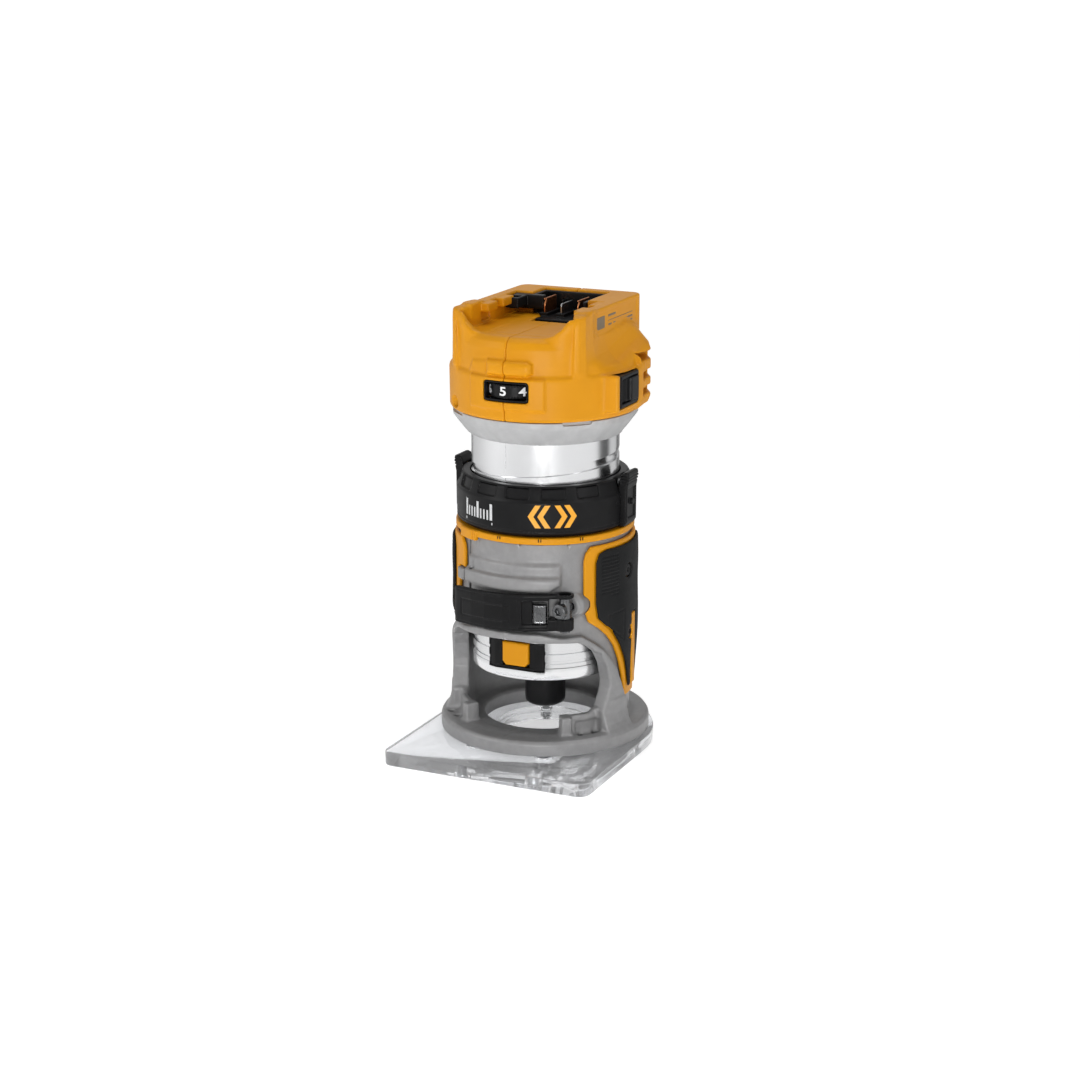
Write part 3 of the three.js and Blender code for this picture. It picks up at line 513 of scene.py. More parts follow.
def hexagon(radius):
    return [(radius * math.cos(a * 60 * DEG), radius * math.sin(a * 60 * DEG)) for a in range(6)]


def joined(name, objects):
    """Several mesh objects as one; the first one's materials come first."""
    bpy.context.view_layer.update()
    data = bpy.data.meshes.new(name)
    points, faces, slots, materials, start = [], [], [], [], 0
    for obj in objects:
        graph = bpy.context.evaluated_depsgraph_get()
        mesh = obj.evaluated_get(graph).to_mesh()
        points += [obj.matrix_world @ v.co for v in mesh.vertices]
        for material in obj.data.materials:
            if material not in materials:
                materials.append(material)
        for face in mesh.polygons:
            faces.append([start + i for i in face.vertices])
            slots.append(materials.index(obj.data.materials[face.material_index]))
        start = len(points)
        obj.evaluated_get(graph).to_mesh_clear()
    data.from_pydata(points, [], faces)
    for material in materials:
        data.materials.append(material)
    data.polygons.foreach_set("material_index", slots)
    data.shade_smooth()
    data.set_sharp_from_angle(angle=40 * DEG)
    for obj in objects:
        bpy.data.objects.remove(obj)
    return add(name, data)


def lettering(name, text, size, material, thick, place, bend):
    """Plain figures, standing upright and facing the front, bent round a cylinder of radius bend."""
    curve = bpy.data.curves.new(name, "FONT")
    curve.body, curve.size, curve.extrude = text, size, thick / 2
    curve.align_x, curve.align_y = "CENTER", "CENTER"
    curve.offset, curve.resolution_u = size * 0.02, 6
    source = add(name + "_curve", curve)
    graph = bpy.context.evaluated_depsgraph_get()
    data = bpy.data.meshes.new_from_object(source.evaluated_get(graph), depsgraph=graph)
    bpy.data.objects.remove(source)
    for v in data.vertices:
        x, z, out = v.co.x, v.co.y, v.co.z
        v.co = Vector(((bend + out) * math.sin(x / bend), -(bend + out) * math.cos(x / bend), z))
    data.transform(place)
    data.transform(Matrix.Translation(SPINDLE))
    data.transform(Matrix.Scale(MM, 4))
    data.materials.clear()
    data.materials.append(material)
    return add(name, data)


# ---------------------------------------------------------------- base
PLATE_HALF, PLATE_FRONT, PLATE_THICK, PLATE_CORNER, PLATE_HOLE = 52.0, -70.0, 6.3, 6.0, 20.5
SCREW_PLACES = [polar(43.5, b) for b in (24, 156, 204, 336)]
PIVOT = polar(45, 36.2, 76.4)  # of the clamp lever, where the tension screw crosses its pin
SCREW_WAY = Vector((0.1, 0.995, 0)).normalized()
SHELL_SCREWS = [(-31, 167), (30, 168.6), (-27, 190), (38.7, 204)]  # y and z


def on_screw(distance):
    """A point on the tension screw's line."""
    return tuple(Vector(PIVOT) + SCREW_WAY * distance)


def arc(x, y, radius, start, end, steps):
    return [
        (x + radius * math.cos(a), y + radius * math.sin(a))
        for a in np.linspace(start * DEG, end * DEG, steps + 1)
    ]


def plate_outline(inset):
    half, front, corner = PLATE_HALF - inset, PLATE_FRONT + inset, PLATE_CORNER - inset
    return (
        arc(corner - half, front + corner, corner, -180, -90, 12)
        + arc(half - corner, front + corner, corner, -90, 0, 12)
        + arc(0, 0, half, 0, 180, 96)
    )


def make_sub_base():
    """Clear plate: chamfered outline, stepped bit hole and countersunk screw holes."""
    chamfer = [(0.45, 0.0), (0.12, 0.12), (0.0, 0.45)]
    levels = chamfer + [(inset, PLATE_THICK - z) for inset, z in reversed(chamfer)]
    rows = [plate_outline(inset) for inset, _ in levels]
    count = len(rows[0])
    points = [(x, y, z) for row, (_, z) in zip(rows, levels) for x, y in row]
    faces = band_faces(len(rows), count) + end_faces(len(rows), count)
    plate = plain_mesh("sub_base_plate", points, faces, CLEAR)
    hole, top_z = PLATE_HOLE, PLATE_THICK
    bit_hole = [
        (0.01, -1), (hole + 0.4, -1), (hole + 0.4, 0), (hole, 0.4), (hole, top_z - 2.4),
        (hole + 2, top_z - 2.4), (hole + 2, top_z - 0.3), (hole + 2.3, top_z), (hole + 2.3, top_z + 1),
        (0.01, top_z + 1),
    ]
    cutters = [lathe("bit_hole", bit_hole, CLEAR, 144)]
    sink = [
        (0.01, -1), (4.4, -1), (4.4, 0), (4.2, 0.2), (4.2, 3.1), (2.2, 3.1), (2.2, top_z + 1),
        (0.01, top_z + 1),
    ]
    cutters += [lathe("sink", sink, CLEAR, 40, centre=(x, y)) for x, y, _ in SCREW_PLACES]
    cut_away(plate, cutters, 30)
    plate.visible_shadow = False
    fit(plate, "base", "clear_plastic", "sub_base")


def make_base_casting():
    s = Space((-50, 50), (-50, 50), (6.4, 106), 0.6)
    leg_in, sleeve_out, leg_out = 36.8, 40.2, 44.3
    foot = s.turned([(28.8, 6.6), (49.7, 6.6), (49.7, 12.2), (48.4, 13.9), (30, 13.9), (28.8, 12.9)])
    wall = s.turned(
        [(leg_in, 10), (sleeve_out, 10), (sleeve_out, 105.5), (37.3, 105.5), (37.3, 103.2), (35, 103.2),
         (35, 57), (leg_in, 55)]
    )
    body = plus(foot, wall, 3.5)
    foot_line = [(0, 52), (61, 52), (62, 9), (84.6, 9)]
    arch_top = [
        (0, 64), (21, 64), (34, 62), (47.6, 62), (54.9, 58.3), (62.9, 53.9), (74.1, 43.8), (82.4, 29.9),
        (84.1, 17.1), (84.6, 9.5),
    ]
    for side in (1, -1):
        rib = s.wrapped(foot_line, arch_top, leg_in, leg_out, side, 1.2)
        body = plus(body, rib, 2.0)
        flare = both(
            s.patch([(62.5, 8), (84.5, 8)], [(62.5, 30), (84.5, 30)], leg_out, side),
            s.turned([(36.8, 9), (49.0, 9), (48.6, 13), (46.2, 17), (44.8, 22), (44.3, 28), (36.8, 28)]),
            0.8,
        )
        body = plus(body, flare, 1.2)
        block = s.wrapped([(34.6, 9), (41.8, 9)], [(34.6, 23.2), (41.8, 23.6)], 36.2, 42.8, side, 1.0)
        body = plus(body, block, 1.4)
    body = plus(body, s.band(-34, 34, 37, 41.7, 83.6, 95.6, 1.4), 2.4)
    ledge = s.wrapped([(-34, 83.6), (27, 83.6), (34, 87)], [(-34, 90.4), (34, 90.4)], 37, 44.5, 1, 2.2)
    body = plus(body, ledge, 1.6)
    body = plus(body, s.band(-46, -37.5, 37, 43.4, 83, 88.5, 0.7), 1.0)
    body = plus(body, s.rod(on_screw(4.9), on_screw(12), 4.5, 0.6), 1.4)
    body = plus(body, s.rod(on_screw(7.2), on_screw(13), 5.6, 0.8), 2.4)
    sill = [(0, 13.9), (34, 13.9), (34.6, 22.7), (56, 22.7), (62.7, 25), (67.9, 34)]
    top = [(0, 60.2), (44.7, 59), (52, 56.4), (59.9, 52.1), (65.1, 46), (67.9, 38)]
    for side in (1, -1):
        opening = both(s.patch(sill, top, sleeve_out, side), slab(30, 50, s.r))
        body = minus(body, opening, 1.2)
        notch = both(
            s.patch([(41.8, 22.7), (60, 22.7)], [(41.8, 40), (60, 40)], sleeve_out, side), slab(40, 50, s.r)
        )
        body = minus(body, notch, 0.8)
    body = minus(body, s.disc(35, 56, 107), 0.4)
    body = minus(body, s.disc(28.8, 0, 14.5))
    body = minus(body, s.band(-36.8, -34.2, 30, 50, 64.6, 107, 0.2), 0.4)
    recess = s.wrapped([(44.5, 5), (62.5, 5)], [(44.5, 20), (62.5, 20)], 38.9, 43.4, 1, 1.5)
    body = sunk(body, recess + 0.3, 0.9, 0.5)
    for radius, bearing in ((41, 48), (41, 58.5), (43.4, -49), (45, -58.5)):
        body = minus(body, s.rod(polar(radius, bearing, 8), polar(radius, bearing, 20), 1.35), 0.3)
    for x, y, _ in SCREW_PLACES:
        body = minus(body, s.rod((x, y, 5), (x, y, 12.4), 2.1), 0.2)
    body = minus(body, s.rod(on_screw(2), on_screw(9.5), 2.0), 0.3)
    body = minus(body, s.rod(polar(42, -29, 88.4), polar(42, -29, 94), 1.1), 0.4)
    body = minus(body, s.rod(polar(30, 180, 98), polar(44, 180, 98), 2.4), 0.3)
    for bearing in (-24, 8, 40):
        groove = s.band(bearing - 0.6, bearing + 0.6, 30, 50, 103.6, 106, 0.2)
        body = sunk(body, groove, 0.5, 0.2)
    fit(s.surface("base_body", body, CAST, 90000), "base", "cast_metal", "base_casting")


def make_trim_ring():
    s = Space((-43.5, 43.5), (-43.5, 43.5), (103.4, 109.4), 0.42)
    body = s.turned([(37.3, 105.8), (41.9, 105.8), (41.9, 108.4), (41.5, 108.8), (37.3, 108.8)])
    body = plus(body, s.band(-42, -24.5, 40.6, 42.8, 103.9, 108.8, 0.5), 0.5)
    body = minus(body, s.band(-27.4, -26.6, 42, 46, 100, 112, 0.0), 0.2)
    ring = s.surface("trim_hoop", body, YELLOW, 26000)
    fit(ring, "base", "yellow_plastic", "trim_ring")
    marks = []
    for bearing in (-6.4, -4.9, 20.4, 21.9, 47.2, 48.7):
        m = Space((-1, 1), (-0.8, 0.8), (-1.2, 1.2), 0.16)
        turn = Matrix.Translation(polar(41.72, bearing, 107.9)) @ Matrix.Rotation(bearing * DEG, 4, "Z")
        tick = m.box((-0.25, 0.25), (-0.42, 0.3), (-0.75, 0.75), 0.2)
        marks.append(m.surface("mark", tick, BLACK, None, turn))
    fit(joined("trim_marks", marks), "base", "black_plastic")


GRIP_SCREWS = {"upper": (87.5, 88.1), "lower": (91, 57.4)}


def frame_lines(left):
    front = [(37.4, 89.2), (46.6, 89.2), (47.4, 79)] if left else [(49.6, 74), (51.0, 71.5)]
    start = front[0][0]
    low = front + [
        (53, 67.7), (61.1, 63.7), (67.8, 59.4), (74.4, 53.4), (80, 45.4), (83.8, 37.3), (86, 26.4),
        (103, 26.4), (108, 42), (118, 60), (128, 68),
    ]
    return low, [(start, 97), (start + 1.4, 100.6), (start + 5, 103.6), (124, 103.6), (128, 100)]


def pad_lines(left):
    start = 55.4 if left else 57.4
    low = [
        (start, 76), (59.1, 69), (64.6, 65.3), (70.7, 61.4), (78.8, 53.1), (85, 44.5), (88.1, 36.4),
        (89.6, 30.6), (100, 30.6), (105, 43), (115, 61), (124, 70),
    ]
    return low, [(start, 96), (start + 2.4, 100), (start + 8, 101.4), (120, 101.2), (124, 98)]


def make_grip(side):
    left = side == "left"
    sign = -1 if left else 1
    across = (-45, -14) if left else (14, 45)
    s = Space(across, (-34, 38), (25.4, 105), 0.42)

    def accent(grow):
        return s.band(92.4 - grow, 98.6 + grow, 41, 43.9, 31.5 - grow * 2, 66 + grow * 2, 0.5, sign)

    def with_holes(body, radius, soft):
        for b, z in GRIP_SCREWS.values():
            body = minus(body, s.rod(polar(38, sign * b, z), polar(47, sign * b, z), radius), soft)
        return body

    low, high = frame_lines(left)
    shell = s.wrapped(low, high, 40.5, 42.3, sign, 0.8)
    p_low, p_high = pad_lines(left)
    pad_plan = s.patch(p_low, p_high, 43.4, sign)
    shell = minus(shell, both(pad_plan, slab(41.9, 60, s.r)))
    shell = plus(shell, accent(0), 0.3)
    shell = with_holes(shell, 1.9, 0.2)
    if not left:
        shell = minus(shell, s.rod(on_screw(4), on_screw(14), 6.2), 0.3)
    moulded = s.surface("grip_shell_" + side, shell, YELLOW, 24000)
    fit(moulded, "base", "yellow_plastic", "grip_frame_" + side)
    swell = 43.5 + 0.55 * np.exp(-(((s.z - 62) / 18) ** 2)) + 0.35 * np.exp(-(((s.z - 92) / 9) ** 2))
    pad = both(pad_plan, np.maximum(42.2 - s.r, s.r - swell), 1.3)
    ribs = np.abs((s.z - 80) % 1.7 - 0.85) - 0.38
    field = s.patch([(61, 80), (76, 78.5)], [(61, 99), (76, 99)], 43.4, sign)
    pad = sunk(pad, both(ribs, field, 0.2), 0.45, 0.25)
    panel = s.patch([(66.5, 64), (82, 55)], [(66.5, 70), (82, 70.5)], 43.4, sign)
    line = both(panel, -(panel + 0.5))
    pad = sunk(pad, line, 0.35, 0.2)
    pad = minus(pad, accent(0.45), 0.5)
    pad = with_holes(pad, 3.4, 0.8)
    fit(s.surface("grip_cover_" + side, pad, RUBBER, 36000), "base", "grip_rubber", "grip_pad_" + side)


def hex_screw(name, start, way, head, head_long, shank, shank_long, socket, material, body, slot, replaced):
    """A screw whose head's outer face stands at start; way points into the material."""
    reach = head_long + shank_long
    s = Space((-head - 0.3, head + 0.3), (-head - 0.3, head + 0.3), (-0.3, reach + 0.3), 0.24)
    field = s.disc(head, 0, head_long, soft=0.6)
    field = plus(field, s.disc(shank, head_long - 0.5, reach), 0.2)
    field = minus(field, s.prism(hexagon(socket), -1, head_long * 0.6), 0.25)
    turn = Vector(way).to_track_quat("Z", "Y").to_matrix().to_4x4()
    obj = s.surface(name, field, material, 6000, Matrix.Translation(start) @ turn)
    return fit(obj, body, slot, replaced)


def make_small_screws():
    for i, (x, y, _) in enumerate(SCREW_PLACES, 1):
        hex_screw(
            f"plate_screw_{i}", (x, y, 0.6), (0, 0, 1), 3.8, 2.2, 1.8, 9.2, 1.6, STEEL, "base", "steel",
            f"sub_base_screw_{i}",
        )
    for side, sign in (("left", -1), ("right", 1)):
        for place, (b, z) in GRIP_SCREWS.items():
            hex_screw(
                f"pad_screw_{side}_{place}", polar(43.2, sign * b, z), polar(-1, sign * b), 3.0, 1.0, 1.5,
                1.6, 1.3, DARK_STEEL, "base", "black_steel", f"grip_screw_{side}_{place}",
            )
    for i, (y, z) in enumerate(SHELL_SCREWS, 1):
        hex_screw(
            f"shell_screw_{i}", (-24.8, y, z), (1, 0, 0), 2.5, 2.4, 1.5, 34, 1.3, DARK_STEEL, "motor",
            "steel", f"housing_screw_{i}",
        )


# ---------------------------------------------------------------- clamp lever
def make_lever():
    s = Space((-32, 34), (-47.6, -24), (64.4, 83.2), 0.36)
    rows = [  # bearing, inner and outer radius
        (-35.5, 45.9, 48.4), (-33, 45.6, 48.3), (-30, 45.2, 47.9), (-22, 44.6, 47.3),
        (-12, 44.2, 47.0), (0, 44, 46.9), (12, 43.9, 46.8), (24, 43.6, 46.6), (29.4, 43.2, 46.6),
        (33, 42.6, 47.2), (36.2, 42.2, 47.6),
    ]
    plan = [polar(outer, b)[:2] for b, _, outer in rows]
    plan += [polar(inner, b)[:2] for b, inner, _ in reversed(rows)]
    body = s.prism(plan, 65, 82.5, 0.9)
    x, y, _ = PIVOT
    body = plus(body, s.disc(4.1, 65, 82.5, (x, y), 0.8), 0.6)
    frame_line = s.patch([(-30, 69.4), (4.2, 69.4)], [(-30, 77.4), (4.2, 77.4)], 47)
    body = sunk(body, both(frame_line, -(frame_line + 0.55)), 0.32, 0.15)
    step = s.patch([(9, 66.8), (26, 66.8)], [(9, 80.4), (26, 80.4)], 47)
    body = sunk(body, step, 0.55, 0.3)
    for z in (66.2, 81.2):
        line = s.patch([(-33, z - 0.25), (8, z - 0.25)], [(-33, z + 0.25), (8, z + 0.25)], 47)
        body = sunk(body, line, 0.25, 0.15)
    body = minus(body, s.band(17.2, 26.2, 40, 50, 68.2, 79.3, 0.4), 0.3)
    body = minus(body, s.band(11, 20, 45.2, 50, 68.2, 79.3, 0.4), 0.3)
    body = minus(body, s.band(26.8, 44, 38, 52, 70.6, 80.3, 0.3), 0.5)
    body = minus(body, s.rod((x, y, 60), (x, y, 90), 2.9), 0.3)
    strap = s.surface("lever_strap", body, BLACK, 30000)
    # The strap climbs by 2.2 mm from its free end to its hinge, and stays under the ledge's lip.
    for v in strap.data.vertices:
        x_mm, y_mm, z_mm = v.co / MM - SPINDLE
        along = min(max((math.atan2(x_mm, -y_mm) / DEG + 35) / 71, 0), 1)
        v.co.z = min(z_mm - 0.7 + 2.2 * along, 83.4) * MM
    fit(strap, "lever", "black_plastic", "lock_lever")
    hex_screw(
        "clamp_screw", on_screw(-6.2), SCREW_WAY, 3.4, 3.2, 1.7, 12, 2.0, GUN, "base", "steel",
        "tension_screw",
    )
    p = Space((x - 3.3, x + 3.3), (y - 3.3, y + 3.3), (65, 82.6), 0.24)
    field = p.disc(2.6, 65.4, 82.1, (x, y), 0.5)
    field = plus(field, p.disc(2.95, 70.9, 80.0, (x, y), 0.3), 0.2)
    field = minus(field, p.rod(on_screw(-6), on_screw(6), 2.0), 0.2)
    fit(p.surface("hinge_pin", field, GUN, 6000), NODES["lever_pin"]["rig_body"], "steel", "lever_pin")
    b = Space((12, 21), (-45.5, -36.5), (68.6, 79.2), 0.28)
    field = b.band(17.4, 25.8, 41.4, 45.6, 69, 78.7, 1.6)
    field = sunk(field, b.band(18.6, 24.6, 40, 50, 70.2, 77.5, 0.4), 0.25, 0.2)
    barrel = b.surface("barrel_pin", field, GUN, 9000)
    fit(barrel, NODES["clamp_barrel"]["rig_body"], "steel", "clamp_barrel")


# ---------------------------------------------------------------- depth ring
RING_SKIN = [
    (35.1, 104.2), (36.7, 104.2), (36.7, 109.2), (39.8, 109.2), (41.4, 110.8), (41.4, 125), (40.9, 125.8),
    (39.3, 131.4), (38.3, 132.2), (35.1, 132.2),
]


def make_depth_ring():
    s = Space((-42, 42), (-42, 42), (103.8, 134.4), 0.45)
    body = s.turned(RING_SKIN)
    body = sunk(body, slab(111.6, 112.2, s.z), 0.35, 0.2)
    for bearing in range(6, 360, 24):
        turned = (s.bearing - bearing + 180) % 360 - 180
        if abs(bearing % 180 - 90) < 15:
            continue
        scale = 41 * DEG
        plan = s.swept(
            [(-8.2 * scale, 131.5), (-8.0 * scale, 127.4), (-7.2 * scale, 126.4), (7.4 * scale, 126.4),
             (8.2 * scale, 127.4), (8.4 * scale, 131.5)], turned * scale,
        )
        body = sunk(body, plan, 1.0, 0.2)
    for side in (-1, 1):
        near, far = sorted((side * 36.9, side * 48))
        body = minus(body, s.box((near, far), (-6.6, 6.6), (107, 137), 0.5), 0.4)
        body = minus(body, s.rod((side * 38.8, -9.4, 120.7), (side * 38.8, 9.4, 120.7), 1.3), 0.2)
    body = minus(body, s.box((32, 48), (-3.9, 3.9), (107.6, 112.6), 0.3), 0.2)
    fit(s.surface("ring_body", body, BLACK, 80000), "ring", "black_plastic", "depth_ring")


def printed(points, bearing, material):
    """A thin printed shape of (arc, z), bent on to the ring's band."""
    skin, thick, sunken = 41.4, 0.12, 0.05
    rows = []
    for radius in (skin - sunken, skin + thick):
        rows += [polar(radius, bearing + a / skin / DEG, z) for a, z in points]
    count = len(points)
    return plain_mesh("mark", rows, band_faces(2, count) + end_faces(2, count), material)


def oblong(centre, wide, low, high):
    left, right = centre - wide / 2, centre + wide / 2
    return [(left, low), (right, low), (right, high), (left, high)]


def make_ring_prints():
    """A scale of ticks and a pair of double arrows, on the front and on the back of the ring."""
    silver, yellow = [], []
    for turn in (0, 180):
        for i in range(9):
            wide, tall = (0.9, 4.6) if i % 4 else (1.4, 7.6)
            tick = oblong(-8.4 + 2.1 * i, wide, 115.2, 115.2 + tall)
            silver.append(printed(tick, turn - 23.7, SILVER_PRINT))
        silver.append(printed(oblong(0, 18.4, 113.0, 114.1), turn - 23.7, SILVER_PRINT))
        for shift in (0, 4.4):
            arrow = [(0.9, 113.7), (3.5, 113.7), (6.9, 119), (3.5, 124.3), (0.9, 124.3), (4.3, 119)]
            right = [(u + shift, v) for u, v in arrow]
            left = [(-u, v) for u, v in reversed(right)]
            yellow += [printed(side, turn + 29.2, YELLOW_PRINT) for side in (left, right)]
    fit(joined("ring_scale", silver), "ring", "black_plastic")
    fit(joined("ring_arrows", yellow), "ring", "yellow_plastic")


def make_tab(side):
    left = side == "left"
    s = Space((33.4, 45.8), (-6.8, 6.8), (108.8, 136), 0.27)
    profile = [
        (37.3, 109.5), (42.6, 109.5), (43.8, 111.5), (43.9, 127.5), (45.0, 132.8), (44.4, 134.9),
        (43.0, 135.2), (41.2, 134.4), (40.0, 131.8), (38.9, 126), (37.3, 122), (37.3, 114),
    ]
    body = s.along_y(profile, -6.2, 6.2, 1.0)
    waist = both(slab(112.6, 127.4, s.z), 42.2 - s.x)
    body = sunk(body, both(s.box((41, 47), (-4.4, 4.4), (113.2, 127.2), 1.0), waist), 0.7, 0.4)
    body = plus(body, s.rod((42, 0, 120.7), (44.8, 0, 120.7), 1.5, 0.4), 0.3)
    for z in (130.2, 131.6, 133.0):
        body = sunk(body, both(slab(z - 0.3, z + 0.3, s.z), 41 - s.x), 0.32, 0.2)
    if not left:
        body = plus(body, s.box((33.9, 40), (-3.2, 3.2), (109.35, 111.75), 0.5), 0.3)
    body = minus(body, s.rod((38.8, -12, 120.7), (38.8, 12, 120.7), 1.3), 0.2)
    body = minus(body, s.rod((35, 0, 129), (42.2, 0, 129), 2.4), 0.2)
    turn = Matrix.Rotation(math.pi if left else 0, 4, "Z")
    grip = s.surface("tab_grip_" + side, body, BLACK, 24000, turn)
    fit(grip, "tab_" + side, "black_plastic", "release_tab_" + side)
    p = Space((37.6, 40), (-9, 9), (119.5, 121.9), 0.2)
    pin = p.rod((38.8, -8.8, 120.7), (38.8, 8.8, 120.7), 1.0, 0.3)
    fit(p.surface("tab_axle_" + side, pin, STEEL, 4000, turn), NODES["tab_pin_" + side]["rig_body"], "steel",
        "tab_pin_" + side)


# ---------------------------------------------------------------- motor
BARREL_RADIUS, BARREL_SIDES = 34.6, 200
LAMP_PLACES = {"left": polar(23, -62), "right": polar(23, 62)}
LEAD = 15.0  # rise of the helical groove in one turn


def grooved_wall(start, stop):
    """Points and faces of the barrel's outside between two heights, in rows that climb with the groove."""
    depth, lead, sides, radius = 1.0, LEAD, BARREL_SIDES, BARREL_RADIUS
    bearings = -180 + np.arange(sides) * 360 / sides
    offsets = [-7.5, -5.5, -3.7, -2.05, -1.8, 0.0, 1.8, 2.05, 3.7, 5.5]
    deep = [0, 0, 0, 0, 1, 1, 1, 0, 0, 0]
    period = len(offsets)
    first = 136.3 - lead * 7
    rows_z = [(first + lead * k + o, d) for k in range(12) for o, d in zip(offsets, deep)]
    lift = lead * (bearings + 12) / 360
    points, grid = [], []
    for z, d in rows_z:
        heights = np.clip(z + lift, start, stop)
        taper = np.clip((heights - 81.2) / 3, 0, 1) * np.clip((143 - heights) / 3, 0, 1)
        row = []
        for b, h, t in zip(bearings, heights, taper):
            row.append(len(points))
            points.append(polar(radius - depth * d * t, b, h))
        grid.append(row)
    faces, last = [], len(rows_z) - 1
    for j in range(last):
        for i in range(sides - 1):
            faces.append((grid[j][i], grid[j][i + 1], grid[j + 1][i + 1], grid[j + 1][i]))
        a, b = min(j + period, last), min(j + 1 + period, last)
        faces.append((grid[j][-1], grid[a][0], grid[b][0], grid[j + 1][-1]))
    return points, faces, bearings


def solid(x, y, z):
    """A closed block, for cutting."""
    faces = [(0, 1, 3, 2), (4, 6, 7, 5), (0, 4, 5, 1), (2, 3, 7, 6), (0, 2, 6, 4), (1, 5, 7, 3)]
    return mesh_of("cutter", [(i, j, k) for i in x for j in y for k in z], faces, MACHINED)


def make_motor_barrel():
    radius, inner, low, high = BARREL_RADIUS, 32.4, 38.3, 157.0
    start, stop = 58.0, 150.8
    points, faces, bearings = grooved_wall(start, stop)
    lower = [
        (10.8, 42.4), (10.8, low + 0.6), (radius - 1.6, low), (radius - 0.4, low + 0.4),
        (radius, low + 1.4), (radius, 44.2), (34.3, 44.5), (34.3, 46.2), (33.9, 46.5), (33.9, 47.5),
        (radius, 47.9), (radius, 51.0), (34.0, 51.3), (34.0, 52.5), (radius, 52.8), (radius, start),
    ]
    upper = [
        (radius, stop), (radius, high - 0.3), (radius - 0.3, high), (inner, high), (inner, 70),
        (14.3, 70), (14.3, 61.4), (8.2, 61.4), (8.2, 59), (inner, 59), (inner, 42.4), (10.8, 42.4),
    ]
    for profile in (lower, upper):
        faces += band_faces(len(profile), BARREL_SIDES, len(points))
        for r, z in profile:
            points += [polar(r, b, z) for b in bearings]
    barrel = plain_mesh("barrel", points, faces, MACHINED)
    weld = barrel.modifiers.new("weld", "WELD")
    weld.merge_threshold = 0.002 * MM
    settle(barrel)
    form = bmesh.new()
    form.from_mesh(barrel.data)
    bmesh.ops.dissolve_degenerate(form, dist=0.001 * MM, edges=form.edges)
    bmesh.ops.recalc_face_normals(form, faces=form.faces)
    form.to_mesh(barrel.data)
    form.free()
    cutters = [
        solid((-15, 15), (-40, -33.1), (36, 58)),
        solid((-14.3, 14.3), (-40, -27.4), (42.5, 56.6)),
        solid((-2.6, 2.6), (33.3, 40), (30, 120)),
        solid((-4.2, -3.8), (-40, -34.1), (120, 160)),
    ]
    lamp_hole = [(0.01, 36), (3.3, 36), (3.3, 44), (0.01, 44)]
    for x, y, _ in LAMP_PLACES.values():
        cutters.append(lathe("lamp_hole", lamp_hole, MACHINED, 40, centre=(x, y)))
    cut_away(barrel, cutters, 30)
    fit(barrel, "motor", "machined_metal", "motor_can")


def make_nose():
    """Lock panel and button, lamps, collet and nut."""
    s = Space((-14.6, 14.6), (-34.8, -15.6), (42.4, 56.8), 0.32)
    body = s.box((-14, 14), (-33, -30.6), (42.8, 56.3), 0.4)
    frame_cut = s.box((-12.6, 12.6), (-34, -32.55), (44.1, 56.0), 0.3)
    body = minus(body, frame_cut, 0.2)
    for sign in (-1, 1):
        x = sorted((sign * 8.2, sign * 9.8))
        body = plus(body, s.box(x, (-31, -16), (45.8, 52.3), 0.2))
    body = plus(body, s.box((-9.8, 9.8), (-17.5, -16), (45.8, 52.3), 0.2))
    body = both(body, s.r - 34.2, 0.3)
    body = minus(body, s.box((-6.9, 6.9), (-40, -30), (44.1, 56.2), 0.4), 0.25)
    body = minus(body, s.rod((0, -20, 50.4), (0, -10, 50.4), 3))
    fit(s.surface("lock_frame", body, BLACK, 16000), "motor", "black_plastic", "lock_panel")
    s = Space((-7, 7), (-34, -11), (44, 56.3), 0.3)
    key = [(-6.6, 46.4), (-4.9, 44.5), (4.9, 44.5), (6.6, 46.4), (6.6, 55.8), (-6.6, 55.8)]
    cap = s.along_y(key, -33.7, -24.5, 0.9)
    cap = minus(cap, s.rod((0, -31, 50.4), (0, -20, 50.4), 5))
    cap = plus(cap, s.rod((0, -32, 50.4), (0, -11.4, 50.4), 2.4))
    fit(s.surface("lock_key", cap, YELLOW, 12000), "lock", "yellow_plastic", "lock_button")
    for side, (x, y, _) in LAMP_PLACES.items():
        s = Space((x - 3.2, x + 3.2), (y - 3.2, y + 3.2), (38.2, 43.8), 0.25)
        field = s.disc(3, 38.4, 43.6, (x, y), 0.8)
        fit(s.surface("lamp_" + side, field, LAMP, 4000), "motor", "lens", "lamp_lens_" + side)
    s = Space((-10.4, 10.4), (-10.4, 10.4), (16.2, 36.4), 0.3)
    body = s.turned(
        [(4.7, 16.6), (6.2, 16.6), (7.6, 16.9), (8.9, 17.6), (9.7, 18.7), (10, 20.2), (10, 35.6),
         (9.6, 36), (7.4, 36), (7.4, 18.5), (4.7, 18.2)]
    )
    body = both(body, s.prism(hexagon(11.03), 10, 40), 0.5)
    fit(s.surface("nut_body", body, DARK_STEEL, 14000), "nut", "black_steel", "collet_nut")
    s = Space((-7, 7), (-7, 7), (18.6, 37.8), 0.26)
    body = s.turned([(4, 18.9), (5.6, 18.9), (6.7, 20), (6.7, 23), (5.5, 23.6), (5, 37.4), (4, 37.4)])
    for a in (0, 120, 240):
        px, py = math.sin(a * DEG), -math.cos(a * DEG)
        along = s.x * px + s.y * py
        across = np.abs(s.x * py - s.y * px) - 0.35
        body = minus(body, both(both(across, 2 - along), slab(10, 33, s.z)))
    fit(s.surface("collet_body", body, STEEL, 9000), "collet", "steel", "collet")


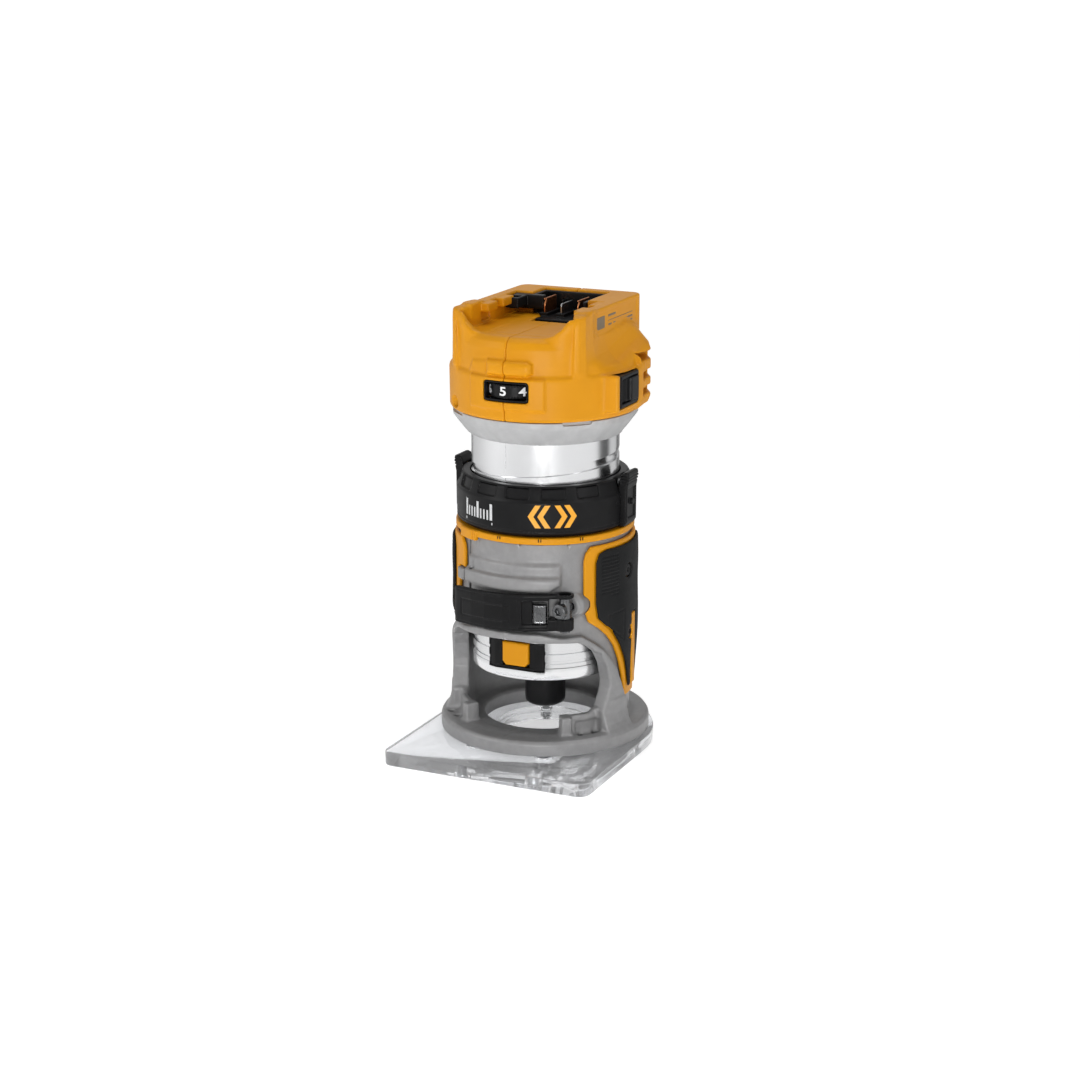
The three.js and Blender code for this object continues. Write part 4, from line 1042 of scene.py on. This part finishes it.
def make_skirt():
    profile = [
        (34.9, 150.8), (36, 150.8), (36.4, 151.0), (38.4, 153.4), (40.6, 156.3), (42.3, 158.5),
        (43.0, 159.6), (43.1, 160.0), (43.1, 162.1), (42.9, 162.4), (40.8, 162.4), (40.8, 160.6),
        (37.6, 157.4), (34.9, 154.8),
    ]

    def shape(radius, height, bearing):
        part = (bearing + 6) % 24 - 12
        flat = (radius + 0.32) * math.cos(12 * DEG) / np.cos(part * DEG)
        faceted = np.minimum(radius, np.maximum(flat, radius - 0.7))
        return np.where((radius > 36.1) & (height < 160.3) & (height > 150.9), faceted, radius), height

    skirt = lathe("skirt_ring", profile, SKIRT, 240, shape, 20)
    cutters = []
    for start, end in ((35, 54), (-58, -37), (128, 146), (-146, -128)):
        s = Space((-46, 46), (-46, 46), (160.6, 163), 0.7)
        field = s.band(start, end, 41.6, 46, 161.0, 164, 0.2)
        cutters.append(s.surface("slot", field, SKIRT))
    cut_away(skirt, cutters, 25)
    fit(skirt, "motor", "skirt_metal", "motor_skirt")


# ---------------------------------------------------------------- housing
def make_housing():
    s = Space((-46.5, 46.5), (-46.2, 45.2), (161.5, 212), 0.5)
    body = s.turned(
        [(-30, 162.7), (43.4, 162.7), (44.2, 164), (44.4, 181.2), (44.1, 182.4), (42.9, 183.8),
         (42.9, 188), (42.4, 195.4), (41.4, 198.2), (40, 199.4), (38, 200.4), (-30, 200.4)]
    )
    half = np.interp(s.z, [163.4, 167, 191, 197, 200.4], [43.6, 45, 45, 39.5, 33]).astype(np.float32)
    x = np.abs(s.x)
    shoulder = both(x - half, both(s.y - 41.5, 6 - s.y), 1.2)
    shoulder = both(shoulder, ((x - half) * 14 + (s.y - 19) * 9) / 16.64, 1.0)
    shoulder = both(shoulder, ((x - half + 9) * 8.5 + (s.y - 33) * 12) / 14.7, 1.0)
    shoulder = both(shoulder, slab(163.4, 200.4, s.z), 1.2)
    body = plus(body, shoulder, 2.5)
    lift = np.interp(s.y, [-24, -6, 8, 24, 42], [0, 1.0, 4.5, 8.6, 10.2]).astype(np.float32)
    curve = outline_distance(
        [(70, 183.6), (43.9, 183.6), (37.8, 186.4), (34.2, 190.6), (31.6, 197), (31.3, 230), (70, 230)],
        x, s.z - lift,
    )
    body = minus(body, both(curve, -30.6 - s.y, 4.0), 3.5)
    qx, qy = x - 26, np.abs(s.y - 9) - 28
    rounded = np.hypot(np.maximum(qx, 0), np.maximum(qy, 0)) + np.minimum(np.maximum(qx, qy), 0) - 5
    body = plus(body, both(rounded, slab(190, 210.5, s.z), 0.8), 2.2)
    front_top = [
        (-36, 150), (-36, 203), (-34.2, 207), (-31.6, 210), (-28.6, 211.1), (50, 211.18), (50, 150),
    ]
    plan = [
        (25.2, -22.5), (27.0, -29.4), (29.4, -33.4), (31.4, -32.4), (33, -29), (32.4, -20.5), (30, -13),
        (25.2, -13),
    ]
    for side in (1, -1):
        horn = s.prism([(side * a, b) for a, b in plan], 184, 211.18, 1.6)
        horn = both(horn, s.along_x(front_top, -60, 60), 2.5)
        body = plus(body, horn, 3.2)
    sweep = [
        (0, 185), (33, 185), (33, 211.3), (26.4, 211.3), (25.6, 208.2), (23.6, 204.8), (20, 201.8),
        (15, 199.9), (0, 199.4),
    ]
    sweep = outline_distance(sweep, x, s.z)
    outer = np.interp(s.z, [184, 190, 200, 212], [42.8, 42.7, 43.0, 44.4]).astype(np.float32)
    lip = both(both(sweep, both(s.r - outer, s.y + 31.4, 0.6), 1.2), s.along_x(front_top, -60, 60), 2.0)
    body = plus(body, s.band(-24, 24, 40, 45.5, 168.3, 182.6, 1.0), 1.4)
    low_ridge = s.wrapped([(-27, 184.2), (-11, 183.4)], [(-24, 188.6), (-11, 189.6)], 38, 43.9, 1, 1.6)
    body = plus(body, low_ridge, 1.6)
    ridge = s.wrapped(
        [(-12, 183.6), (14, 183.6), (17, 185)], [(-12, 190.6), (14, 190.6), (17, 189.2)], 38, 46.0, 1, 3.4
    )
    body = plus(body, ridge, 0.9)
    body = plus(body, s.box((38, 45.8), (-22, 11), (166, 183), 1.2), 1.6)
    body = minus(body, s.disc(40.9, 150, 180.4))
    body = minus(body, s.box((-27.6, 27.6), (-31, 37), (179, 197.6)))
    body = minus(body, s.box((-25.2, 25.2), (-60, 10), (200.4, 230), 0.6), 0.7)
    tub = [(-9.9, 5), (16.6, 5), (16.6, 35.4), (-16.6, 35.4), (-16.6, 21.7), (-9.9, 21.7)]
    body = plus(body, lip, 0.8)
    body = minus(body, s.prism(tub, 190, 230, 0.4), 0.4)
    body = minus(body, s.box((-25.2, -9), (5, 22), (200.6, 230), 0.5), 0.4)
    body = minus(body, s.box((-10.5, 11.7), (-60, -37), (171.7, 181.3), 1.8), 0.5)
    body = minus(body, s.disc(12.5, 171.9, 181.1, (0.6, -33.2)))
    body = minus(body, s.disc(2.3, 170.7, 182.3, (0.6, -33.2)))
    body = minus(body, s.box((30, 60), (-19.3, 2.3), (167.2, 182.7), 0.8), 0.4)
    for side in (1, -1):
        for low, high in ((168.6, 172.2), (176, 179.6), (184.4, 188)):
            body = minus(body, s.band(100, 123, 36, 60, low, high, 1.0, side), 0.8)
    for y, z, reach in ((-31, 167, 24), (30, 168.6, 26), (-27, 190, 29)):
        body = plus(body, s.rod((-reach, y, z), (reach, y, z), 3.9), 0.3)
    for side in (1, -1):
        rail = s.box(sorted((side * 21.2, side * 26)), (-16, 11), (206.4, 210.2), 0.5)
        notch = s.box(sorted((side * 19, side * 25)), (-6, 0), (205, 211), 0.3)
        body = plus(body, minus(rail, notch, 0.3), 0.3)
        body = minus(body, s.box(sorted((side * 25, side * 26.6)), (-15, -6), (202, 208), 0.3), 0.3)
    body = sunk(body, s.box((-24.4, 24.4), (-32.4, -31.7), (199, 202)), 0.4, 0.15)
    body = sunk(body, s.box((-15, 15), (-26, 6), (199, 202)), 0.22, 0.1)
    panel = s.box((30.4, 32), (-17.5, 35), (198.6, 208.6), 0.8)
    body = sunk(body, panel, 0.3, 0.15)
    body = minus(body, s.band(-12.9, -12.1, 43.6, 48, 184.8, 189.6, 0.0), 0.3)
    for y, z in SHELL_SCREWS:
        body = minus(body, s.rod((-60, y, z), (-22, y, z), 2.9), 0.5)
        body = minus(body, s.rod((-23, y, z), (13, y, z), 1.8))
    groove = both(both(x - 0.15, s.z - 191), s.y + 20)
    body = sunk(body, groove, 0.35, 0.3)
    for side, sign in (("left", 1), ("right", -1)):
        half = s.surface("shell_" + side, both(body, sign * s.x + 0.012), YELLOW, 85000)
        fit(half, "motor", "yellow_plastic", "housing_" + side)


def make_label():
    """Plain stand-in for the rating label: bars of even tone on the right wall."""
    bars = [
        (-15.5, -2.5, 200.6, 206.6), (1.5, 10, 205.3, 206.4), (1.5, 30, 203.4, 203.8),
        (1.5, 5.5, 201.2, 202.2), (7, 10, 201.2, 202.2), (20, 30, 201.2, 202.2), (24, 30, 199.6, 200.4),
    ]
    made = []
    for y0, y1, z0, z1 in bars:
        s = Space((30.4, 31.1), (y0, y1), (z0, z1), 0.2)
        made.append(s.surface("bar", s.box((30.5, 30.86), (y0, y1), (z0, z1), 0.2), GREY_PRINT))
    fit(joined("label_bars", made), "motor", "yellow_plastic")


def make_terminals():
    half = 16.3
    s = Space((-26, 26), (6, 35.4), (197.6, 210), 0.36)
    plan = [(-9.6, 9.4), (half, 9.4), (half, 35.1), (-half, 35.1), (-half, 22), (-9.6, 22)]
    body = s.prism(plan, 198, 209.6, 0.5)
    inner = s.box((-half + 1.8, half - 1.8), (0, 33.1), (200.4, 220), 0.5)
    body = minus(body, inner, 0.3)
    body = plus(body, s.box((-24.6, -9.6), (18.5, 22), (203, 209.6), 0.4), 0.2)
    body = plus(body, s.box((-24.6, -18), (8.4, 22), (204.4, 209.4), 0.5), 0.2)
    body = minus(body, s.box((-23.4, -19.2), (10.5, 15.6), (200, 212), 0.4), 0.2)
    for x in (-8.5, 0, 8.5):
        foot = s.box((x - 2.2, x + 2.2), (16, 31.5), (199, 202.2), 0.4)
        body = plus(body, foot, 0.3)
        body = minus(body, s.box((x - 0.8, x + 0.8), (17, 31), (190, 206)))
    for x in (-12.6, -4.2, 4.2, 12.6):
        body = plus(body, s.box((x - 0.5, x + 0.5), (28, 34), (199, 206.5), 0.3), 0.3)
    fit(s.surface("terminal_tub", body, BLACK, 26000), "motor", "black_plastic", "terminal_block")
    for i, x in enumerate((-8.5, 0, 8.5), 1):
        s = Space((x - 0.7, x + 0.7), (17, 31), (198.2, 209), 0.15)
        blade = s.box((x - 0.4, x + 0.4), (17.4, 30.4), (198.4, 206.6 if i == 2 else 208.6), 0.3)
        blade = minus(blade, s.along_x([(16, 208), (16, 203.8), (19.2, 208)], -20, 20), 0.2)
        metal = STEEL if i == 2 else COPPER
        fit(s.surface(f"blade_{i}", blade, metal, 4000), "motor", "copper", f"terminal_blade_{i}")


def make_dial():
    cx, cy = 0.6, -33.2
    s = Space((cx - 12.2, cx + 12.2), (cy - 12.2, cy + 12.2), (171, 182.2), 0.34)
    body = s.disc(12, 173.4, 179.8, (cx, cy), 0.5)
    ribs = np.cos(np.arctan2(s.x - cx, s.y - cy) * 54)
    skin = np.hypot(s.x - cx, s.y - cy)
    edge = both(slab(11.6, 13, skin), plus(slab(173.2, 174.2, s.z), slab(179.0, 180, s.z)))
    body = minus(body, both(edge, ribs * 0.3 + 0.1, 0.1), 0.15)
    body = plus(body, s.disc(1.9, 171.2, 182, (cx, cy)))
    fit(s.surface("dial_wheel", body, BLACK, 24000), "dial", "black_plastic", "speed_dial")
    figures = []
    for i, figure in enumerate("1234567"):
        bearing = (4 - i) * 44 - 3.6
        turn = Matrix.Translation((cx, cy, 176.6)) @ Matrix.Rotation(bearing * DEG, 4, "Z")
        wider = turn @ Matrix.Diagonal((1.3, 1, 1, 1))
        figures.append(lettering("figure", figure, 5.6, WHITE_PRINT, 0.12, wider, 12.03))
    fit(joined("dial_figures", figures), "dial", "black_plastic")
    s = Space((-12, 14), (-46.2, -36), (171.6, 181.4), 0.3)
    plate = s.band(-20, 20, 41.0, 45.1, 171.9, 181.1, 0.3)
    plate = both(plate, s.box((-10.2, 11.4), (-60, -30), (171.9, 181.1), 1.6), 0.2)
    way = s.box((-9.6, 10.8), (-60, -30), (172.9, 180.3), 1.0)
    plate = minus(plate, both(way, 41.5 - s.r), 0.2)
    plate = minus(plate, s.disc(12.35, 173.0, 180.2, (cx, cy)), 0.2)
    fit(s.surface("dial_frame", plate, BLACK, 16000), "motor", "black_plastic", "dial_bezel")


def make_switch():
    s = Space((38, 46.4), (-19.4, 2.4), (167, 182.8), 0.32)
    bezel = s.box((38.6, 46.1), (-19, 2), (167.5, 182.4), 0.9)
    bezel = minus(bezel, s.box((30, 50), (-17.4, 0.4), (169.3, 180.6), 0.6), 0.4)
    fit(s.surface("switch_frame", bezel, BLACK, 16000), "motor", "black_plastic", "switch_bezel")
    px, py = 43.0, -8.5
    profile = [
        (-2.4, -3.4), (1.9, -8.4), (2.6, -0.3), (3.9, 0.2), (4.1, 7.9), (1, 8.5), (-2.4, 3.4),
    ]
    s = Space((40, 47.3), (-17.3, 0.4), (169.3, 180.6), 0.28)
    body = s.prism([(x + px, y + py) for x, y in profile], 169.6, 180.3, 0.5)
    for y in (-6.6, -5.4, -4.2):
        body = sunk(body, slab(py + y - 0.22, py + y + 0.22, s.y), 0.25, 0.15)
    fit(s.surface("rocker_key", body, BLACK, 14000), "rocker", "black_plastic", "power_rocker")


def tubes(name, points, radius, material):
    """A round wire through points in mm, as a mesh."""
    sides = 10
    around = [i * 2 * math.pi / sides for i in range(sides)]
    rim = []
    for i, p in enumerate(points):
        way = (points[min(i + 1, len(points) - 1)] - points[max(i - 1, 0)]).normalized()
        side = way.cross(Vector((0, 0, 1)))
        if side.length < 0.05:
            side = way.cross(Vector((1, 0, 0)))
        side.normalize()
        other = side.cross(way)
        rim += [p + side * radius * math.cos(a) + other * radius * math.sin(a) for a in around]
    faces = band_faces(len(points), sides) + end_faces(len(points), sides)
    tube = plain_mesh(name, rim, faces, material)
    tube.data.shade_smooth()
    return tube


def make_springs():
    """Wound springs in place of the plain tubes."""

    def coil(name, start, way, length, radius, thick, turns, replaced):
        way, side = Vector(way), Vector((0, 0, 1))
        other = way.cross(side)
        steps = turns * 20
        line = [
            Vector(start) + way * length * i / steps
            + (side * math.cos(i * 18 * DEG) + other * math.sin(i * 18 * DEG)) * (radius - thick)
            for i in range(steps + 1)
        ]
        fit(tubes(name, line, thick, STEEL), NODES[replaced]["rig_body"], "steel", replaced)

    coil("lock_coil", (0, -27.2, 50.4), (0, 1, 0), 9.0, 4.2, 0.4, 6, "lock_spring")
    for side, sign in (("left", -1), ("right", 1)):
        start = (sign * 37.4, 0, 129)
        coil("tab_coil_" + side, start, (sign, 0, 0), 3.0, 1.9, 0.22, 5, "tab_spring_" + side)


CARRIED = {
    "guide_pin": STEEL, "stator": STEEL, "stator_windings": COPPER, "motor_end_plate": CAST,
    "lower_bearing": STEEL, "upper_bearing": STEEL, "motor_shaft": STEEL, "rotor_core": STEEL,
    "cooling_fan": BLACK, "switch_module": BLACK, "control_board": BOARD,
}


def dress_carried():
    """Gives each CAD solid that stays visible its material, on the object and not on its mesh."""
    for name, material in CARRIED.items():
        for place in NODES[name].material_slots:
            place.link = "OBJECT"
            place.material = material


# ---------------------------------------------------------------- floor and light
FLOOR_REACH = 60.0
MIDDLE = (0, 0.009, 0.11)  # of the tool, in metres
DIFFUSE = 0.33  # the room's tone for rough surfaces
# Tones by bearing. The room is even and white to look at, and soft dark bays shape the
# reflections in turned metal.
BAYS = [
    (-180, 0.3), (-150, 0.7), (-136, 0.6), (-130, 0.12), (-120, 0.62), (-60, 0.86), (-8, 0.76),
    (8, 0.62), (17, 0.22), (25, 0.24), (35, 0.82), (108, 0.86), (119, 0.12), (134, 0.08), (143, 0.66),
    (162, 0.62), (170, 0.05), (180, 0.3),
]


def make_floor():
    """A plain pale floor that glows a little more far away, where the lamps don't reach."""
    made = bpy.data.materials.new("floor")
    made.use_nodes = True
    tree = made.node_tree
    surface = tree.nodes["Principled BSDF"]
    clouds = node(tree, "ShaderNodeTexNoise", Scale=3.0, Detail=3.0)
    pale = node(tree, "ShaderNodeValToRGB")
    for stop, tone in zip(pale.color_ramp.elements, (0.88, 0.9)):
        stop.color = (tone, tone, tone, 1)
    wire(tree, clouds, "Fac", pale, "Fac")
    wire(tree, pale, "Color", surface, "Base Color")
    surface.inputs["Roughness"].default_value = 0.7
    surface.inputs["Specular IOR Level"].default_value = 0.1
    surface.inputs["Emission Color"].default_value = (1, 1, 1, 1)
    where = node(tree, "ShaderNodeTexCoord")
    far = node(tree, "ShaderNodeVectorMath", operation="LENGTH")
    tree.links.new(where.outputs["Object"], far.inputs[0])
    glow = node(tree, "ShaderNodeMapRange")
    glow.inputs["From Min"].default_value, glow.inputs["From Max"].default_value = 0.5, 2.5
    glow.inputs["To Min"].default_value, glow.inputs["To Max"].default_value = 0.50, 0.88
    tree.links.new(far.outputs["Value"], glow.inputs["Value"])
    wire(tree, glow, "Result", surface, "Emission Strength")
    data = bpy.data.meshes.new("floor")
    corners = [(x * FLOOR_REACH, y * FLOOR_REACH, 0) for x, y in ((-1, -1), (1, -1), (1, 1), (-1, 1))]
    data.from_pydata(corners, [], [(0, 1, 2, 3)])
    data.materials.append(made)
    floor = add("floor", data)
    floor.location.z = -0.2 * MM


def bay_tone(tree, vector):
    """A grey that changes with the bearing of a vector round the upright axis."""
    split = node(tree, "ShaderNodeSeparateXYZ")
    tree.links.new(vector, split.inputs[0])
    flip = node(tree, "ShaderNodeMath", operation="MULTIPLY")
    flip.inputs[1].default_value = -1
    tree.links.new(split.outputs["Y"], flip.inputs[0])
    turn = node(tree, "ShaderNodeMath", operation="ARCTAN2")
    tree.links.new(split.outputs["X"], turn.inputs[0])
    tree.links.new(flip.outputs[0], turn.inputs[1])
    share = node(tree, "ShaderNodeMapRange")
    share.inputs["From Min"].default_value, share.inputs["From Max"].default_value = -math.pi, math.pi
    tree.links.new(turn.outputs[0], share.inputs["Value"])
    ramp = node(tree, "ShaderNodeValToRGB")
    ramp.color_ramp.interpolation = "EASE"
    stops = ramp.color_ramp.elements
    for i, (bearing, value) in enumerate(BAYS):
        place = (bearing + 180) / 360
        stop = stops[i] if i < 2 else stops.new(place)
        stop.position, stop.color = place, (value, value, value, 1)
    wire(tree, share, "Result", ramp, "Fac")
    return ramp.outputs["Color"]


def make_room():
    world = bpy.data.worlds.new("studio")
    bpy.context.scene.world = world
    world.use_nodes = True
    tree = world.node_tree
    away = node(tree, "ShaderNodeTexCoord")
    tone = bay_tone(tree, away.outputs["Generated"])
    path = node(tree, "ShaderNodeLightPath")
    glossy = node(tree, "ShaderNodeMix", data_type="RGBA")
    glossy.inputs[6].default_value = (DIFFUSE, DIFFUSE, DIFFUSE, 1)
    tree.links.new(path.outputs["Is Glossy Ray"], glossy.inputs[0])
    tree.links.new(tone, glossy.inputs[7])
    seen = node(tree, "ShaderNodeMix", data_type="RGBA")
    seen.inputs[7].default_value = (1, 1, 1, 1)
    tree.links.new(path.outputs["Is Camera Ray"], seen.inputs[0])
    tree.links.new(glossy.outputs[2], seen.inputs[6])
    tree.links.new(seen.outputs[2], tree.nodes["Background"].inputs["Color"])


def make_flags():
    """Black cards on the floor, seen only in reflections."""
    made = bpy.data.materials.new("flags")
    made.use_nodes = True
    tree = made.node_tree
    tree.nodes.remove(tree.nodes["Principled BSDF"])
    away = node(tree, "ShaderNodeTexCoord")
    tone = bay_tone(tree, away.outputs["Object"])
    clear = node(tree, "ShaderNodeBsdfTransparent")
    dark = node(tree, "ShaderNodeEmission", Strength=0.0)
    blend = node(tree, "ShaderNodeMixShader")
    tree.links.new(tone, blend.inputs[0])
    tree.links.new(dark.outputs[0], blend.inputs[1])
    tree.links.new(clear.outputs[0], blend.inputs[2])
    tree.links.new(blend.outputs[0], tree.nodes["Material Output"].inputs["Surface"])
    sides = 36
    around = [polar(1, a * 360 / sides) for a in range(sides)]
    data = bpy.data.meshes.new("flags")
    points = [(u * d, v * d, 0.0) for d in (0.13, 5.5) for u, v, _ in around]
    data.from_pydata(points, [], band_faces(2, sides))
    data.materials.append(made)
    cards = add("flags", data)
    cards.location = (0, 0.009, 0.0004)
    cards.visible_camera = cards.visible_diffuse = False
    cards.visible_shadow = cards.visible_transmission = False


def make_lights():
    soft_light("key", (-0.85, -0.85, 0.7), MIDDLE, (0.4, 0.8), 3.4)
    soft_light("front", (0.30, -0.8, 0.12), (0, 0.04, 0.03), (0.2, 0.1), 2.2)
    soft_light("fill", (1.1, -0.3, 0.6), MIDDLE, (0.2, 0.8), 1.3)
    soft_light("top", (0.1, 0.2, 1.3), MIDDLE, (0.8, 0.8), 5)
    bpy.context.scene.view_settings.view_transform = "Standard"


make_camera()
make_sub_base()
make_base_casting()
make_trim_ring()
for side in ("left", "right"):
    make_grip(side)
    make_tab(side)
make_small_screws()
make_lever()
make_depth_ring()
make_ring_prints()
make_motor_barrel()
make_nose()
make_skirt()
make_housing()
make_label()
make_terminals()
make_dial()
make_switch()
make_springs()
dress_carried()
make_floor()
make_room()
make_flags()
make_lights()
